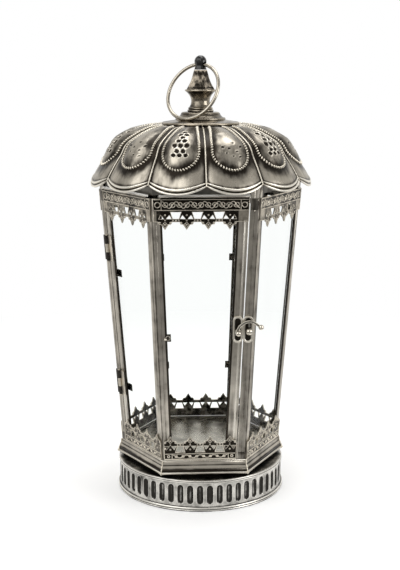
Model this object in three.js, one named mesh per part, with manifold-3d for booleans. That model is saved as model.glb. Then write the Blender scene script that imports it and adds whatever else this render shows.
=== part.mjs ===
// Footed lantern: a tapering six-sided glazed body with a two-panel door, standing on a fluted
// drum and carrying a twelve-petalled roof, a finial and a loose carrying ring.
// Millimetres and degrees. +Z is up, the front face looks along -Y, and the origin is the
// centre of the underside of the drum.

import * as THREE from 'three';
import { mergeVertices } from 'three/addons/utils/BufferGeometryUtils.js';
import Module from 'manifold-3d';

const wasm = await Module();
wasm.setup();

// Sheet, glass and clearances
const fit = 0.3;
const sheet = 1.2;
const glassThickness = 2;
const bodyStandOff = 0.4;
const cutterOvershoot = 1;

// Drum: the round foot with its row of flutes
const drumHeight = 34.3;
const drumRadius = 90.8;
const drumWall = 3;
const drumShelf = 2;
const drumShelfWidth = 20.8;
const footBeadHeight = 5.2;
const footBeadReach = 1.9;
const footBeadRound = 0.6;
const footBeadSlope = 1.4;
const rimBeadHeight = 3.7;
const rimBeadReach = 1;
const rimBeadRound = 1.1;
const fluteCount = 54;
const fluteWidth = 6.2;
const fluteHeight = 20.8;
const fluteFoot = 7.7;
const fluteDepth = 1.3;

// Plinth: the six-sided stepped moulding between the drum and the glazed body
const plinthHeight = 17.7;
const plinthOverhang = 2.3;
const plinthStepIn = 4.5;
const plinthWallWidth = 12.6;
const plinthNeckHeight = 2.7;
const plinthNeckInset = 6;
const plinthBeadRound = 0.8;
const plinthBeadHeight = 1.8;
const plinthBeadSlope = 1.4;
const plinthCoveDepth = 3;
const plinthCoveRise = 5.2;
const plinthCoveLean = 0.6;
const plinthBandHeight = 4.9;
const plinthBandLean = 0.7;
const plinthStepReach = 1.6;
const plinthStepHeight = 1;
const plinthStepEase = 0.4;
const floorRebateWidth = 8.1;
const floorRebateDepth = 2.4;
const floorThickness = 1.6;

// Body: radii are measured to the corners, and every corner leans outwards by the flare
const bodyHeight = 297.9;
const bodySetBack = 1.1;
const bodyFlare = 22.82;
const flangeWidth = 9;
const lipDepth = 2;
const grooveAlong = 4.4;
const stileGrooveAlong = 3.4;
const grooveWidth = 1.3;
const grooveDepth = 0.45;
const cornerChamfer = 0.9;
const padProud = 0.9;
const padInset = 0.6;

// Door: its frame is a hinge stile, a folded corner stile and a latch stile
const doorGap = 1;
const doorFootGap = 1.2;
const hingeStileWidth = 10;
const cornerStileFlange = 10;
const latchStileWidth = 12;

// Friezes: a flat band with a pierced cresting, hanging at the top and standing at the foot
const bandTopHeight = 12;
const bandFootHeight = 7.7;
const bandHeadDrop = 3.4;
const crestHeight = 19.2;
const topCrestPitch = 21.8;
const footCrestPitch = 21;
const crestCount = 4;
const crestTieFoot = 8.4;
const crestTieHeight = 2.5;
const crestStem = 1.8;
const crestFootRise = 0.3;
const crestLobeRise = 2.8;
const crestWaistRise = 3;
const crestFootShare = 0.32;
const crestLobeShare = 0.27;
const crestWaistShare = 0.16;
const archFoot = 1.2;
const archFootShare = 0.25;
const archHeadShare = 0.15;
const eyeNearShare = 0.2;
const eyeFarShare = 0.31;
const bandInset = 1.5;
const frontTopCrestShift = -8;
const frontFootCrestShift = -4.6;
const ledgeHeight = 2;
const ledgeProud = 1;
const ledgeLap = 0.4;
const ledgeInset = 9;

// Glass and the bent clips that hold it
const paneInset = 5;
const paneStileLap = 3.4;
const paneHeadDrop = 5;
const clipHeight = 8;
const clipReach = 4;
const clipThickness = 1;
const clipSeat = 0.3;
const clipFootRise = 63.3;
const clipHeadDrop = 106.6;
const cornerClipRise = 134.3;

// Head frame under the roof
const headRailHeight = 13.6;
const headRailLap = 1;
const headWidth = 5;
const collarHeight = 7.4;
const collarSetBack = 11.3;

// Roof: twelve petals pressed from sheet, meeting at raised seams. The seam line falls from under
// the cap over a break, a shoulder and a flank to the skirt and the eaves. The upper points are
// given by their drop from its top, the lower ones by their rise from its foot.
const petalCount = 12;
const petalThickness = 1.6;
const roofHeight = 62.1;
const roofTopRadius = 38;
const roofBreakIn = 55.3;
const roofBreakDrop = 1.4;
const roofShoulderIn = 27.7;
const roofShoulderDrop = 14.5;
const roofFlankIn = 18.4;
const roofFlankRise = 34.9;
const roofSkirtIn = 9.1;
const roofSkirtRise = 21.8;
const eavesTurnIn = 1.2;
const eavesTurnRise = 8;
const eavesOverhang = 5.18;
const eavesHang = 11.8;
const eavesHeight = 5.8;
const eavesBeadHeight = 1.1;
const eavesBeadFall = 1.2;
const eavesCoveLevel = 3;
const eavesCoveDepth = 0.2;
const eavesRollLevel = 1;
const eavesRollHeight = 1.2;
const eavesLipHeight = 0.3;
const scallopRise = 8;
const crownAtTop = 0.7;
const crownAtEaves = 3;
const seamRibHeight = 1.1;
const seamRibWidth = 1.9;
const teardropHead = 0.16;
const teardropWidest = 0.6;
const teardropFoot = 0.77;
const teardropWidth = 0.78;
const teardropHeadWidth = 0.67;
const teardropBulge = 3.6;
const teardropClosing = 0.93;
const teardropRise = 0.41;
const bossShoulderShare = 0.5;
const bossShoulderRise = 0.78;
const ropeOuterShare = 1.1;
const ropeInnerShare = 0.86;
const ropeHeight = 1.3;
const ropeInnerHeight = 0.4;

// Cap, finial and carrying ring
const capOverlap = 3.6;
const capLipHeight = 4.8;
const capLipRound = 1.5;
const capLipEdge = 1.4;
const capNeckRadius = 25;
const capCollarRadius = 20.2;
const capCollarHeight = 13.4;
const capCollarFlare = 1.4;
const capCollarBand = 3;
const capCollarRound = 1.4;
const capCollarTopIn = 2.4;
const balusterHeight = 21.7;
const balusterFootRadius = 14.2;
const balusterFootHeight = 4.3;
const balusterFootRound = 1;
const balusterFootStep = 1.8;
const balusterWaistRadius = 9.95;
const balusterWaistHeight = 10.4;
const balusterThroatDrop = 3.2;
const balusterThroatSwell = 0.9;
const balusterBellyRise = 4;
const balusterBellySwell = 0.7;
const balusterFlareRise = 8.3;
const balusterFlareSwell = 3.2;
const balusterRimRadius = 16.8;
const balusterRimRound = 0.7;
const balusterRimHeight = 2.1;
const coneSides = 8;
const coneHeight = 22.2;
const coneFootRadius = 15.6;
const coneTopRadius = 7.2;
const coneFootRise = 2;
const coneFootRound = 1;
const coneLowShare = 0.34;
const coneLowSwell = 5.2;
const coneMiddleShare = 0.54;
const coneMiddleSwell = 3.1;
const coneHighShare = 0.76;
const coneHighSwell = 1.3;
const ballRadius = 6.5;
const ballNeckRadius = 5.3;
const ballNeckHeight = 5.2;
const ballFootRadius = 6.6;
const ballFootRise = 1.6;
const ballFootTaper = 0.5;
const ballNeckLevel = 4;
const ringHoleRadius = 3;
const ringHoleHeight = 5.5;
const ringRadius = 31.4;
const ringWire = 1.9;
const ringYaw = -39;
const rodRadius = 3;
const rodTail = 6;
const nutRadius = 6.5;
const nutHeight = 5;
const crownPlateOverlap = 6;
const crownPlateDrop = 0.8;
const crownPlateThickness = 2;

// Hinges
const hingeFootRise = 67.6;
const hingeHeadDrop = 79.9;
const hingeLength = 27;
const hingeLeafWidth = 7.4;
const hingeLeafThickness = 1;
const knuckleRadius = 1.9;
const hingePinRadius = 0.75;
const hingePinHead = 1.5;
const hingePinHeadHeight = 1.2;
const hingePinEnd = 0.4;
const hingeLeafTuck = 1.2;
const hingeTongueLap = 0.5;

// Latch
const latchRise = 144;
const latchPlateWidth = 9.2;
const latchPlateHeight = 29;
const latchPlateThickness = 1.2;
const latchDoorPlateShift = 0.8;
const latchPostPlateShift = 0.1;
const latchPivotDrop = 2.2;
const latchPinRadius = 1.3;
const latchBallRadius = 3.1;
const catchBallRadius = 3.7;
const catchReach = 4;
const catchDrop = 1;
const catchShift = 0.8;
const hookWire = 1.35;
const hookRise = 11.3;
const hookSpan = 22.5;
const hookEyeWidth = 1.5;
const hookEndRadius = 2.8;
const toothGap = 0.2;

const rad = THREE.MathUtils.degToRad;

// Levels that follow, each from the one below it
const plinthFoot = drumHeight + fit;
const plinthTop = plinthFoot + plinthHeight;
const bodyFoot = plinthTop + bodyStandOff;
const doorFoot = plinthTop + doorFootGap;
const collarFoot = bodyFoot + bodyHeight;
const headFoot = collarFoot - headRailHeight;
const topBandHead = headFoot - bandHeadDrop;
const topBandFoot = topBandHead - bandTopHeight;
const paneHead = headFoot - paneHeadDrop;
const lobeFoot = collarFoot - eavesHang;
const roofTopHeight = lobeFoot + roofHeight;
const latchLevel = bodyFoot + latchRise;

// Radii that follow, each from the one that carries it
const plinthFootRadius = drumRadius + plinthOverhang;
const plinthTopRadius = plinthFootRadius - plinthStepIn;
const plinthInnerRadius = plinthTopRadius - plinthWallWidth;
const floorRebateRadius = plinthTopRadius - floorRebateWidth;
const bodyFootRadius = plinthTopRadius - bodySetBack;
const bodyHeadRadius = bodyFootRadius + bodyFlare;
const eavesRadius = bodyHeadRadius + eavesOverhang;
const capRadius = roofTopRadius + capOverlap;

const bodyTaper = bodyFlare / bodyHeight;
const cornerRadius = (z) => bodyFootRadius + bodyTaper * (z - bodyFoot);
const halfFace = (z) => cornerRadius(z) / 2;
const faceLean = Math.atan(bodyTaper * Math.cos(rad(30)));
const slope = (z) => (z - bodyFoot) / Math.cos(faceLean);

const pewter = { color: 0x8f8b82, metalness: 0.9, roughness: 0.42 };
const brushedPewter = { color: 0x9a968d, metalness: 0.9, roughness: 0.36 };
const darkPewter = { color: 0x3a3833, metalness: 0.85, roughness: 0.5 };
const brightSteel = { color: 0xc4c2bc, metalness: 1, roughness: 0.2 };
const blackBall = { color: 0x16140f, metalness: 0.8, roughness: 0.12 };
const clearGlass = { color: 0xf2f6f5, metalness: 0, roughness: 0.04, transparent: true, opacity: 0.25 };

const lantern = new THREE.Group();

// Welds a freshly drawn geometry into one indexed shell and drops its flat triangles.
function weld(geometry) {
  geometry.deleteAttribute('normal');
  geometry.deleteAttribute('uv');
  const welded = mergeVertices(geometry, 1e-4);
  const corners = [...welded.index.array];
  const kept = [];
  for (let i = 0; i < corners.length; i += 3) {
    const triangle = corners.slice(i, i + 3);
    if (new Set(triangle).size === 3) kept.push(...triangle);
  }
  return welded.setIndex(kept);
}

// Turns a shell's faces outwards.
function outward(shell) {
  const position = shell.getAttribute('position');
  const corners = [...shell.index.array];
  const [a, b, c] = [new THREE.Vector3(), new THREE.Vector3(), new THREE.Vector3()];
  let volume = 0;
  for (let i = 0; i < corners.length; i += 3) {
    a.fromBufferAttribute(position, corners[i]);
    b.fromBufferAttribute(position, corners[i + 1]);
    c.fromBufferAttribute(position, corners[i + 2]);
    volume += a.dot(b.cross(c));
  }
  return volume < 0 ? shell.setIndex(corners.reverse()) : shell;
}

function toSolid(geometry) {
  const shell = outward(geometry);
  return new wasm.Manifold(new wasm.Mesh({
    numProp: 3,
    vertProperties: new Float32Array(shell.getAttribute('position').array),
    triVerts: new Uint32Array(shell.index.array),
  }));
}

function fromSolid(solid) {
  const mesh = solid.getMesh();
  const geometry = new THREE.BufferGeometry();
  geometry.setAttribute('position', new THREE.BufferAttribute(new Float32Array(mesh.vertProperties), 3));
  return geometry.setIndex([...mesh.triVerts]);
}

function join(...geometries) {
  return fromSolid(geometries.map(toSolid).reduce((whole, piece) => whole.add(piece)));
}

function cut(geometry, ...cutters) {
  const whole = toSolid(geometry);
  return fromSolid(cutters.map(toSolid).reduce((rest, cutter) => rest.subtract(cutter), whole));
}

// Adds one finished piece to the lantern.
function addPiece(name, geometry, finish, parent = lantern) {
  const mesh = new THREE.Mesh(outward(geometry), new THREE.MeshStandardMaterial(finish));
  mesh.name = name;
  parent.add(mesh);
  return mesh;
}

// Revolves a closed [radius, height] profile about the lantern's axis.
function revolve(profile, segments) {
  const points = [...profile, profile[0]].map(([r, z]) => new THREE.Vector2(r, z));
  return weld(new THREE.LatheGeometry(points, segments)).rotateX(Math.PI / 2);
}

// Extrudes a closed [x, y] outline by a thickness, upwards from z = 0.
function extrude(outline, thickness) {
  const shape = new THREE.Shape(outline.map(([x, y]) => new THREE.Vector2(x, y)));
  return weld(new THREE.ExtrudeGeometry(shape, { depth: thickness, bevelEnabled: false }));
}

// A rod with any number of sides along a chosen axis, from one end to the other.
function rod(radius, from, to, sides) {
  const along = new THREE.Vector3().subVectors(to, from);
  const geometry = weld(new THREE.CylinderGeometry(radius, radius, along.length(), sides));
  const upright = new THREE.Vector3(0, 1, 0);
  const turn = new THREE.Quaternion().setFromUnitVectors(upright, along.clone().normalize());
  return geometry.applyQuaternion(turn).translate(...from.clone().add(to).multiplyScalar(0.5).toArray());
}

// The outline of a slot with round ends, standing upright about its centre.
function slotOutline(width, height, steps) {
  const points = [];
  for (const end of [1, -1]) {
    for (let i = 0; i <= steps; i++) {
      const angle = (i / steps) * Math.PI + (end > 0 ? 0 : Math.PI);
      points.push([
        (width / 2) * Math.cos(angle),
        end * (height - width) / 2 + (width / 2) * Math.sin(angle),
      ]);
    }
  }
  return points;
}

// Frame of one body face: x runs right along the face, y up its slope and z out of it. Its origin
// is on the outer surface at mid-width, at the foot of the body.
function faceFrame(angle) {
  const direction = new THREE.Vector3(Math.cos(rad(angle)), Math.sin(rad(angle)), 0);
  const right = new THREE.Vector3(-direction.y, direction.x, 0);
  const up = direction.clone().multiplyScalar(Math.sin(faceLean)).setZ(Math.cos(faceLean));
  const out = new THREE.Vector3().crossVectors(right, up);
  const frame = new THREE.Matrix4().makeBasis(right, up, out);
  return frame.setPosition(direction.multiplyScalar(bodyFootRadius * Math.cos(rad(30))).setZ(bodyFoot));
}

// Places a geometry that was drawn in a face's frame, raised off the face by a distance.
function onFace(geometry, angle, raise = 0) {
  return geometry.translate(0, 0, raise).applyMatrix4(faceFrame(angle));
}

// A point of a folded corner's section, for a corner at angle 0: a distance along the flange on
// one side of the fold, and a depth in from the outer surface.
function foldPoint(side, along, deep) {
  return [
    along * Math.cos(rad(120)) - deep * Math.cos(rad(30)),
    side * (along * Math.sin(rad(120)) - deep * Math.sin(rad(30))),
  ];
}

// Where the two flanges' surfaces meet at a depth.
const foldCorner = (deep) => deep * Math.tan(rad(30));

// Runs a section up a leaning corner of the body from one level to another.
function upCorner(section, angle, from, to) {
  const geometry = extrude(section, to - from).rotateZ(rad(angle)).translate(0, 0, from);
  const [x, y] = [Math.cos(rad(angle)), Math.sin(rad(angle))];
  const offset = bodyFootRadius - bodyTaper * bodyFoot;
  const shear = new THREE.Matrix4().set(
    1, 0, bodyTaper * x, offset * x,
    0, 1, bodyTaper * y, offset * y,
    0, 0, 1, 0,
    0, 0, 0, 1,
  );
  return geometry.applyMatrix4(shear);
}

const groove = (side, along) => [
  foldPoint(side, along - grooveWidth / 2, 0),
  foldPoint(side, along, grooveDepth),
  foldPoint(side, along + grooveWidth / 2, 0),
];

// Drum
{
  const wallFoot = footBeadHeight;
  const rimFoot = drumHeight - rimBeadHeight;
  const outside = revolve([
    [0, 0],
    [drumRadius + footBeadReach - footBeadRound, 0],
    [drumRadius + footBeadReach, 2 * footBeadRound],
    [drumRadius + footBeadReach, wallFoot - footBeadSlope],
    [drumRadius, wallFoot],
    [drumRadius, rimFoot],
    [drumRadius + rimBeadReach, rimFoot + rimBeadRound],
    [drumRadius + rimBeadReach, drumHeight - rimBeadRound],
    [drumRadius, drumHeight],
    [0, drumHeight],
  ], fluteCount);
  const hollow = revolve([
    [0, -cutterOvershoot],
    [drumRadius - drumWall, -cutterOvershoot],
    [drumRadius - drumWall, drumHeight - drumShelf],
    [drumRadius - drumShelfWidth, drumHeight - drumShelf],
    [drumRadius - drumShelfWidth, drumHeight + cutterOvershoot],
    [0, drumHeight + cutterOvershoot],
  ], fluteCount / 3);
  const wallFace = drumRadius * Math.cos(Math.PI / fluteCount);
  const flutes = [];
  for (let i = 0; i < fluteCount; i++) {
    flutes.push(extrude(slotOutline(fluteWidth, fluteHeight, 2), fluteDepth + cutterOvershoot)
      .rotateX(Math.PI / 2)
      .translate(0, fluteDepth - wallFace, fluteFoot + fluteHeight / 2)
      .rotateZ(((i + 0.5) / fluteCount) * 2 * Math.PI));
  }
  addPiece('base_ring', cut(outside, hollow, ...flutes), pewter);
}

// Plinth and floor plate
{
  const neckTop = plinthFoot + plinthNeckHeight;
  const bandFoot = plinthTop - plinthBandHeight;
  const coveRadius = plinthFootRadius - plinthCoveDepth;
  addPiece('plinth', revolve([
    [plinthInnerRadius, plinthFoot],
    [plinthFootRadius - plinthNeckInset, plinthFoot],
    [plinthFootRadius - plinthNeckInset, neckTop],
    [plinthFootRadius - plinthBeadRound, neckTop],
    [plinthFootRadius, neckTop + plinthBeadRound],
    [plinthFootRadius, neckTop + plinthBeadHeight],
    [plinthFootRadius - plinthBeadSlope, neckTop + plinthBeadHeight + plinthBeadSlope],
    [coveRadius, neckTop + plinthCoveRise],
    [coveRadius - plinthCoveLean, bandFoot - plinthStepHeight - plinthStepEase],
    [plinthTopRadius + plinthStepReach, bandFoot - plinthStepHeight],
    [plinthTopRadius + plinthStepReach, bandFoot],
    [plinthTopRadius + plinthBandLean, bandFoot + plinthStepEase],
    [plinthTopRadius, plinthTop],
    [floorRebateRadius, plinthTop],
    [floorRebateRadius, plinthTop - floorRebateDepth],
    [plinthInnerRadius, plinthTop - floorRebateDepth],
  ], 6).rotateZ(rad(30)), pewter);
  const floorFoot = plinthTop - floorRebateDepth + fit;
  const floorRadius = floorRebateRadius - fit / Math.cos(rad(30));
  addPiece('floor_plate', revolve([
    [0, floorFoot],
    [floorRadius, floorFoot],
    [floorRadius, floorFoot + floorThickness],
    [0, floorFoot + floorThickness],
  ], 6).rotateZ(rad(30)), brightSteel);
}

// Folded corner posts and stiles, with the bent clips that hold the glass
const paneDeep = lipDepth + fit;
const clipDeep = paneDeep + glassThickness + fit;

// Section of an angle folded at a corner, with a lip turned in along each flange.
function foldSection(width) {
  const flange = (side) => [
    foldPoint(side, cornerChamfer, 0),
    ...groove(side, grooveAlong),
    foldPoint(side, width, 0),
    foldPoint(side, width, lipDepth),
    foldPoint(side, width - sheet, lipDepth),
    foldPoint(side, width - sheet, sheet),
  ];
  return [...flange(1), foldPoint(1, foldCorner(sheet), sheet), ...flange(-1).reverse()];
}

// Section of the clip in a folded corner: a web down the middle and a tab over each pane. On a
// post beside the door, the side towards the door stays bare.
function foldClipSection(width, bareSide = 0) {
  const half = (side) => (side === bareSide ? [
    foldPoint(side, foldCorner(sheet - clipSeat) + clipThickness, sheet - clipSeat),
    foldPoint(side, foldCorner(clipDeep) + clipThickness, clipDeep + clipThickness),
  ] : [
    foldPoint(side, foldCorner(sheet - clipSeat) + clipThickness, sheet - clipSeat),
    foldPoint(side, foldCorner(clipDeep) + clipThickness, clipDeep),
    foldPoint(side, width + clipReach, clipDeep),
    foldPoint(side, width + clipReach, clipDeep + clipThickness),
  ]);
  const inner = clipDeep + clipThickness;
  return [...half(1), foldPoint(1, foldCorner(inner), inner), ...half(-1).reverse()];
}

// Section of a flat stile with both edges turned in, between two distances from a corner.
function stileSection(side, near, far) {
  return [
    foldPoint(side, near, 0),
    ...groove(side, near + stileGrooveAlong),
    foldPoint(side, far, 0),
    foldPoint(side, far, lipDepth),
    foldPoint(side, far - sheet, lipDepth),
    foldPoint(side, far - sheet, sheet),
    foldPoint(side, near + sheet, sheet),
    foldPoint(side, near + sheet, lipDepth),
    foldPoint(side, near, lipDepth),
  ];
}

function stileClipSection(side, near, far) {
  return [
    foldPoint(side, near, lipDepth - clipSeat),
    foldPoint(side, near, clipDeep + clipThickness),
    foldPoint(side, far + clipReach, clipDeep + clipThickness),
    foldPoint(side, far + clipReach, clipDeep),
    foldPoint(side, near + sheet, clipDeep),
    foldPoint(side, near + sheet, lipDepth - clipSeat),
  ];
}

function withClips(section, clipSection, angle, from, to, levels) {
  const clips = levels.map((z) => upCorner(clipSection, angle, z - clipHeight / 2, z + clipHeight / 2));
  return join(upCorner(section, angle, from, to), ...clips);
}

const cornerAngles = { hinge: 180, latch: 300, right: 0, back_right: 60, back_left: 120 };
// The door wraps the corner midway between its hinge and its latch.
const doorCorner = (cornerAngles.hinge + cornerAngles.latch) / 2;
const postTop = collarFoot - fit;
const clipLevels = [bodyFoot + clipFootRise, collarFoot - clipHeadDrop];
const cornerClipLevels = [bodyFoot + cornerClipRise];
// Clips hold each pane by one edge, so the right post and the latch stile have none.
// A flat pad on the flange beside the door closes each frieze band at the fixed post.
const padSpans = [[bodyFoot, bodyFoot + bandFootHeight], [topBandFoot, topBandHead]];

for (const [name, angle] of Object.entries(cornerAngles)) {
  const doorSide = { hinge: 1, latch: -1 }[name];
  const clip = foldClipSection(flangeWidth, doorSide);
  const levels = name === 'right' ? [] : clipLevels;
  const post = withClips(foldSection(flangeWidth), clip, angle, bodyFoot, postTop, levels);
  const pads = doorSide ? padSpans.map(([from, to]) => upCorner([
    foldPoint(doorSide, cornerChamfer, -padProud),
    foldPoint(doorSide, flangeWidth - padInset, -padProud),
    foldPoint(doorSide, flangeWidth - padInset, sheet / 2),
    foldPoint(doorSide, cornerChamfer, sheet / 2),
  ], angle, from, to)) : [];
  addPiece(name + '_post', pads.length ? join(post, ...pads) : post, brushedPewter);
}

const hingeNear = flangeWidth + doorGap;
const hingeFar = hingeNear + hingeStileWidth;
const latchNear = flangeWidth + doorGap;
const latchFar = latchNear + latchStileWidth;

addPiece('door_hinge_stile', withClips(
  stileSection(1, hingeNear, hingeFar),
  stileClipSection(1, hingeNear, hingeFar),
  cornerAngles.hinge, doorFoot, topBandHead, clipLevels,
), brushedPewter);
addPiece('door_corner_stile', withClips(
  foldSection(cornerStileFlange),
  foldClipSection(cornerStileFlange),
  doorCorner, doorFoot, topBandHead, cornerClipLevels,
), brushedPewter);
addPiece('door_latch_stile', upCorner(
  stileSection(-1, latchNear, latchFar), cornerAngles.latch, doorFoot, topBandHead,
), brushedPewter);

// Pierced friezes and glass panes, one of each to a face
const doorEdge = flangeWidth + doorGap + fit;
const faces = [
  { name: 'front', angle: 270, left: bandInset, right: doorEdge, door: true },
  { name: 'front_right', angle: 330, left: bandInset, right: bandInset, door: false },
  { name: 'back_right', angle: 30, left: bandInset, right: bandInset, door: false },
  { name: 'back', angle: 90, left: bandInset, right: bandInset, door: false },
  { name: 'back_left', angle: 150, left: bandInset, right: bandInset, door: false },
  { name: 'front_left', angle: 210, left: doorEdge, right: bandInset, door: true },
];

// One pendant of the cresting as an outline, from its left foot on the tie to its right foot.
// y grows away from the band.
function pendant(pitch) {
  const under = crestTieFoot + crestTieHeight;
  const half = [
    [-pitch * crestFootShare, under + crestFootRise],
    [-pitch * crestLobeShare, under + crestLobeRise],
    [-pitch * crestWaistShare, under + crestWaistRise],
  ];
  const mirrored = half.map(([x, y]) => [-x, y]).reverse();
  return [...half, [0, crestHeight], ...mirrored];
}

// A frieze: a band with crestCount pendants tied together by a strip, pierced between the band
// and the tie. The direction is -1 for a crest that hangs and 1 for one that stands.
function frieze(face, bandFrom, bandTo, direction, pitch, shift) {
  const crestLine = direction < 0 ? bandFrom : bandTo;
  const outer = direction < 0 ? bandTo : bandFrom;
  const tie = crestTieFoot + crestTieHeight;
  const tieLine = crestLine + direction * tie;
  const crest = ([x, y]) => [x, slope(crestLine) + direction * y];
  const leftAt = (z) => -halfFace(z) + face.left;
  const rightAt = (z) => halfFace(z) - face.right;

  const first = shift - ((crestCount - 1) / 2) * pitch;
  const outline = [[leftAt(outer), slope(outer)], crest([leftAt(tieLine), tie])];
  const holes = [];
  for (let i = 0; i < crestCount; i++) {
    const centre = first + i * pitch;
    outline.push(...pendant(pitch).map(([x, y]) => crest([centre + x, y])));
    for (const side of [-1, 1]) {
      holes.push([
        [centre + side * crestStem / 2, crestTieFoot],
        [centre + side * pitch * eyeNearShare, crestTieFoot / 2],
        [centre + side * pitch * eyeFarShare, crestTieFoot],
      ].map(crest));
    }
    if (i < crestCount - 1) {
      const middle = centre + pitch / 2;
      holes.push([
        [middle - pitch * archFootShare, archFoot],
        [middle + pitch * archFootShare, archFoot],
        [middle + pitch * archHeadShare, crestTieFoot],
        [middle - pitch * archHeadShare, crestTieFoot],
      ].map(crest));
    }
  }
  outline.push(crest([rightAt(tieLine), tie]), [rightAt(outer), slope(outer)]);
  const through = sheet + 2 * cutterOvershoot;
  const piercings = holes.map((hole) => extrude(hole, through).translate(0, 0, -cutterOvershoot));
  return onFace(cut(extrude(outline, sheet), ...piercings), face.angle, fit);
}

// The turned-out ledge along the head of each door panel.
function ledge(face) {
  const from = slope(topBandHead - ledgeLap);
  const to = slope(topBandHead + ledgeHeight);
  const left = Math.max(face.left, ledgeInset) - halfFace(topBandHead);
  const right = halfFace(topBandHead) - Math.max(face.right, ledgeInset);
  const outline = [[left, from], [right, from], [right, to], [left, to]];
  return onFace(extrude(outline, sheet + ledgeProud), face.angle, fit);
}

for (const face of faces) {
  const owner = face.door ? 'door_' : '';
  const foot = face.door ? doorFoot : bodyFoot;
  const front = face.name === 'front';
  const middle = (face.left - face.right) / 2;
  const topShift = front ? frontTopCrestShift : middle;
  const footShift = front ? frontFootCrestShift : middle;
  const top = frieze(face, topBandFoot, topBandHead, -1, topCrestPitch, topShift);
  const low = frieze(face, foot, bodyFoot + bandFootHeight, 1, footCrestPitch, footShift);
  addPiece(owner + 'top_frieze_' + face.name, face.door ? join(top, ledge(face)) : top, pewter);
  addPiece(owner + 'foot_frieze_' + face.name, low, pewter);

  const paneLeft = face.left === doorEdge ? doorEdge - fit + paneStileLap : paneInset;
  const paneRight = face.right === doorEdge ? doorEdge - fit + paneStileLap : paneInset;
  const paneFoot = face.door ? doorFoot + fit : bodyFoot;
  const pane = extrude([
    [-halfFace(paneFoot) + paneLeft, slope(paneFoot)],
    [halfFace(paneFoot) - paneRight, slope(paneFoot)],
    [halfFace(paneHead) - paneRight, slope(paneHead)],
    [-halfFace(paneHead) + paneLeft, slope(paneHead)],
  ], glassThickness);
  addPiece(owner + 'glass_' + face.name, onFace(pane, face.angle, -paneDeep - glassThickness), clearGlass);
}

// Roof surface. Down the seam line, t is 0 under the cap and 1 at the foot of a lobe. Across a
// petal, the place is -1 to 1 between its two seams.
const seamLine = new THREE.SplineCurve([
  new THREE.Vector2(roofTopRadius, roofTopHeight),
  new THREE.Vector2(eavesRadius - roofBreakIn, roofTopHeight - roofBreakDrop),
  new THREE.Vector2(eavesRadius - roofShoulderIn, roofTopHeight - roofShoulderDrop),
  new THREE.Vector2(eavesRadius - roofFlankIn, lobeFoot + roofFlankRise),
  new THREE.Vector2(eavesRadius - roofSkirtIn, lobeFoot + roofSkirtRise),
  new THREE.Vector2(eavesRadius - eavesTurnIn, lobeFoot + eavesTurnRise),
  new THREE.Vector2(eavesRadius, lobeFoot),
]);
const seamLength = seamLine.getLength();
const petalHalfTurn = Math.PI / petalCount;
const seamNormal = (t) => {
  const tangent = seamLine.getTangentAt(t);
  return new THREE.Vector2(-tangent.y, tangent.x);
};
const crownAt = (t) => crownAtTop + (crownAtEaves - crownAtTop) * t;

// Where the scalloped edge crosses the seam line's measure, for a place across the petal.
function eavesAt(across) {
  const level = lobeFoot + scallopRise * across * across;
  let [low, high] = [0.5, 1];
  while (high - low > 1e-6) {
    const middle = (low + high) / 2;
    if (seamLine.getPointAt(middle).y > level) low = middle;
    else high = middle;
  }
  return low;
}

// A point of a petal that is centred on +X, lifted off its plain surface.
function petalPoint(share, across, lift) {
  const t = share * eavesAt(across);
  const normal = seamNormal(t);
  const off = lift + crownAt(t) * (1 - Math.abs(across) ** 2.4);
  const place = seamLine.getPointAt(t).addScaledVector(normal, off);
  const turn = across * petalHalfTurn;
  const clear = across * (fit / 2);
  return new THREE.Vector3(
    place.x * Math.cos(turn) + clear * Math.sin(petalHalfTurn),
    place.x * Math.sin(turn) - clear * Math.cos(petalHalfTurn),
    place.y,
  );
}

// Half-width of the teardrop as a share of the petal's, at a share of the way down.
function teardropHalf(share) {
  if (share < teardropWidest) {
    const k = Math.max(0, (share - teardropHead) / (teardropWidest - teardropHead));
    return teardropHeadWidth + (teardropWidth - teardropHeadWidth) * Math.sin(k * Math.PI / 2);
  }
  const k = Math.min(1, (share - teardropWidest) / (teardropFoot - teardropWidest));
  return teardropWidth * Math.sqrt(1 - teardropClosing * k * k);
}

// Rows down the petal: how far down, and how far the edge moulding stands off there.
function petalRows() {
  const step = 1 / seamLength;
  const plain = [0, 0.14, 0.28, 0.44, teardropWidest, 0.7, teardropFoot].map((share) => [share, 0]);
  return [
    ...plain,
    [1 - eavesHeight * step, 0],
    [1 - (eavesHeight - eavesBeadFall) * step, eavesBeadHeight],
    [1 - eavesCoveLevel * step, -eavesCoveDepth],
    [1 - eavesRollLevel * step, eavesRollHeight],
    [1, eavesLipHeight],
  ];
}

// Columns across one row: how far across, and how far the seam rib, rope and boss stand off.
function petalColumns(share) {
  const rise = THREE.MathUtils.smoothstep(share, 0, teardropRise);
  const halfWidth = seamLine.getPointAt(share).x * Math.sin(petalHalfTurn);
  const seam = [[-1, seamRibHeight * (1 + 2 * rise) / 3], [seamRibWidth / halfWidth - 1, 0]];
  const mirrored = (side) => [...side, ...side.map(([across, lift]) => [-across, lift]).reverse()];
  if (share === 0 || share > teardropFoot) {
    const plain = mirrored([...seam, [-0.45, 0]]);
    return [...plain.slice(0, 3), [0, 0], ...plain.slice(3)];
  }
  const foot = share === teardropFoot;
  const half = foot ? teardropHeadWidth / 2 : teardropHalf(share);
  const rope = foot ? ropeHeight : ropeHeight * rise;
  const boss = foot ? ropeHeight : teardropBulge * rise;
  const columns = mirrored([
    ...seam,
    [-half * ropeOuterShare, 0],
    [-half, rope],
    [-half * ropeInnerShare, foot ? rope : ropeInnerHeight * rise],
    [-half * bossShoulderShare, foot ? rope : boss * bossShoulderRise],
  ]);
  return [...columns.slice(0, 6), [0, boss], ...columns.slice(6)];
}

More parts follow.
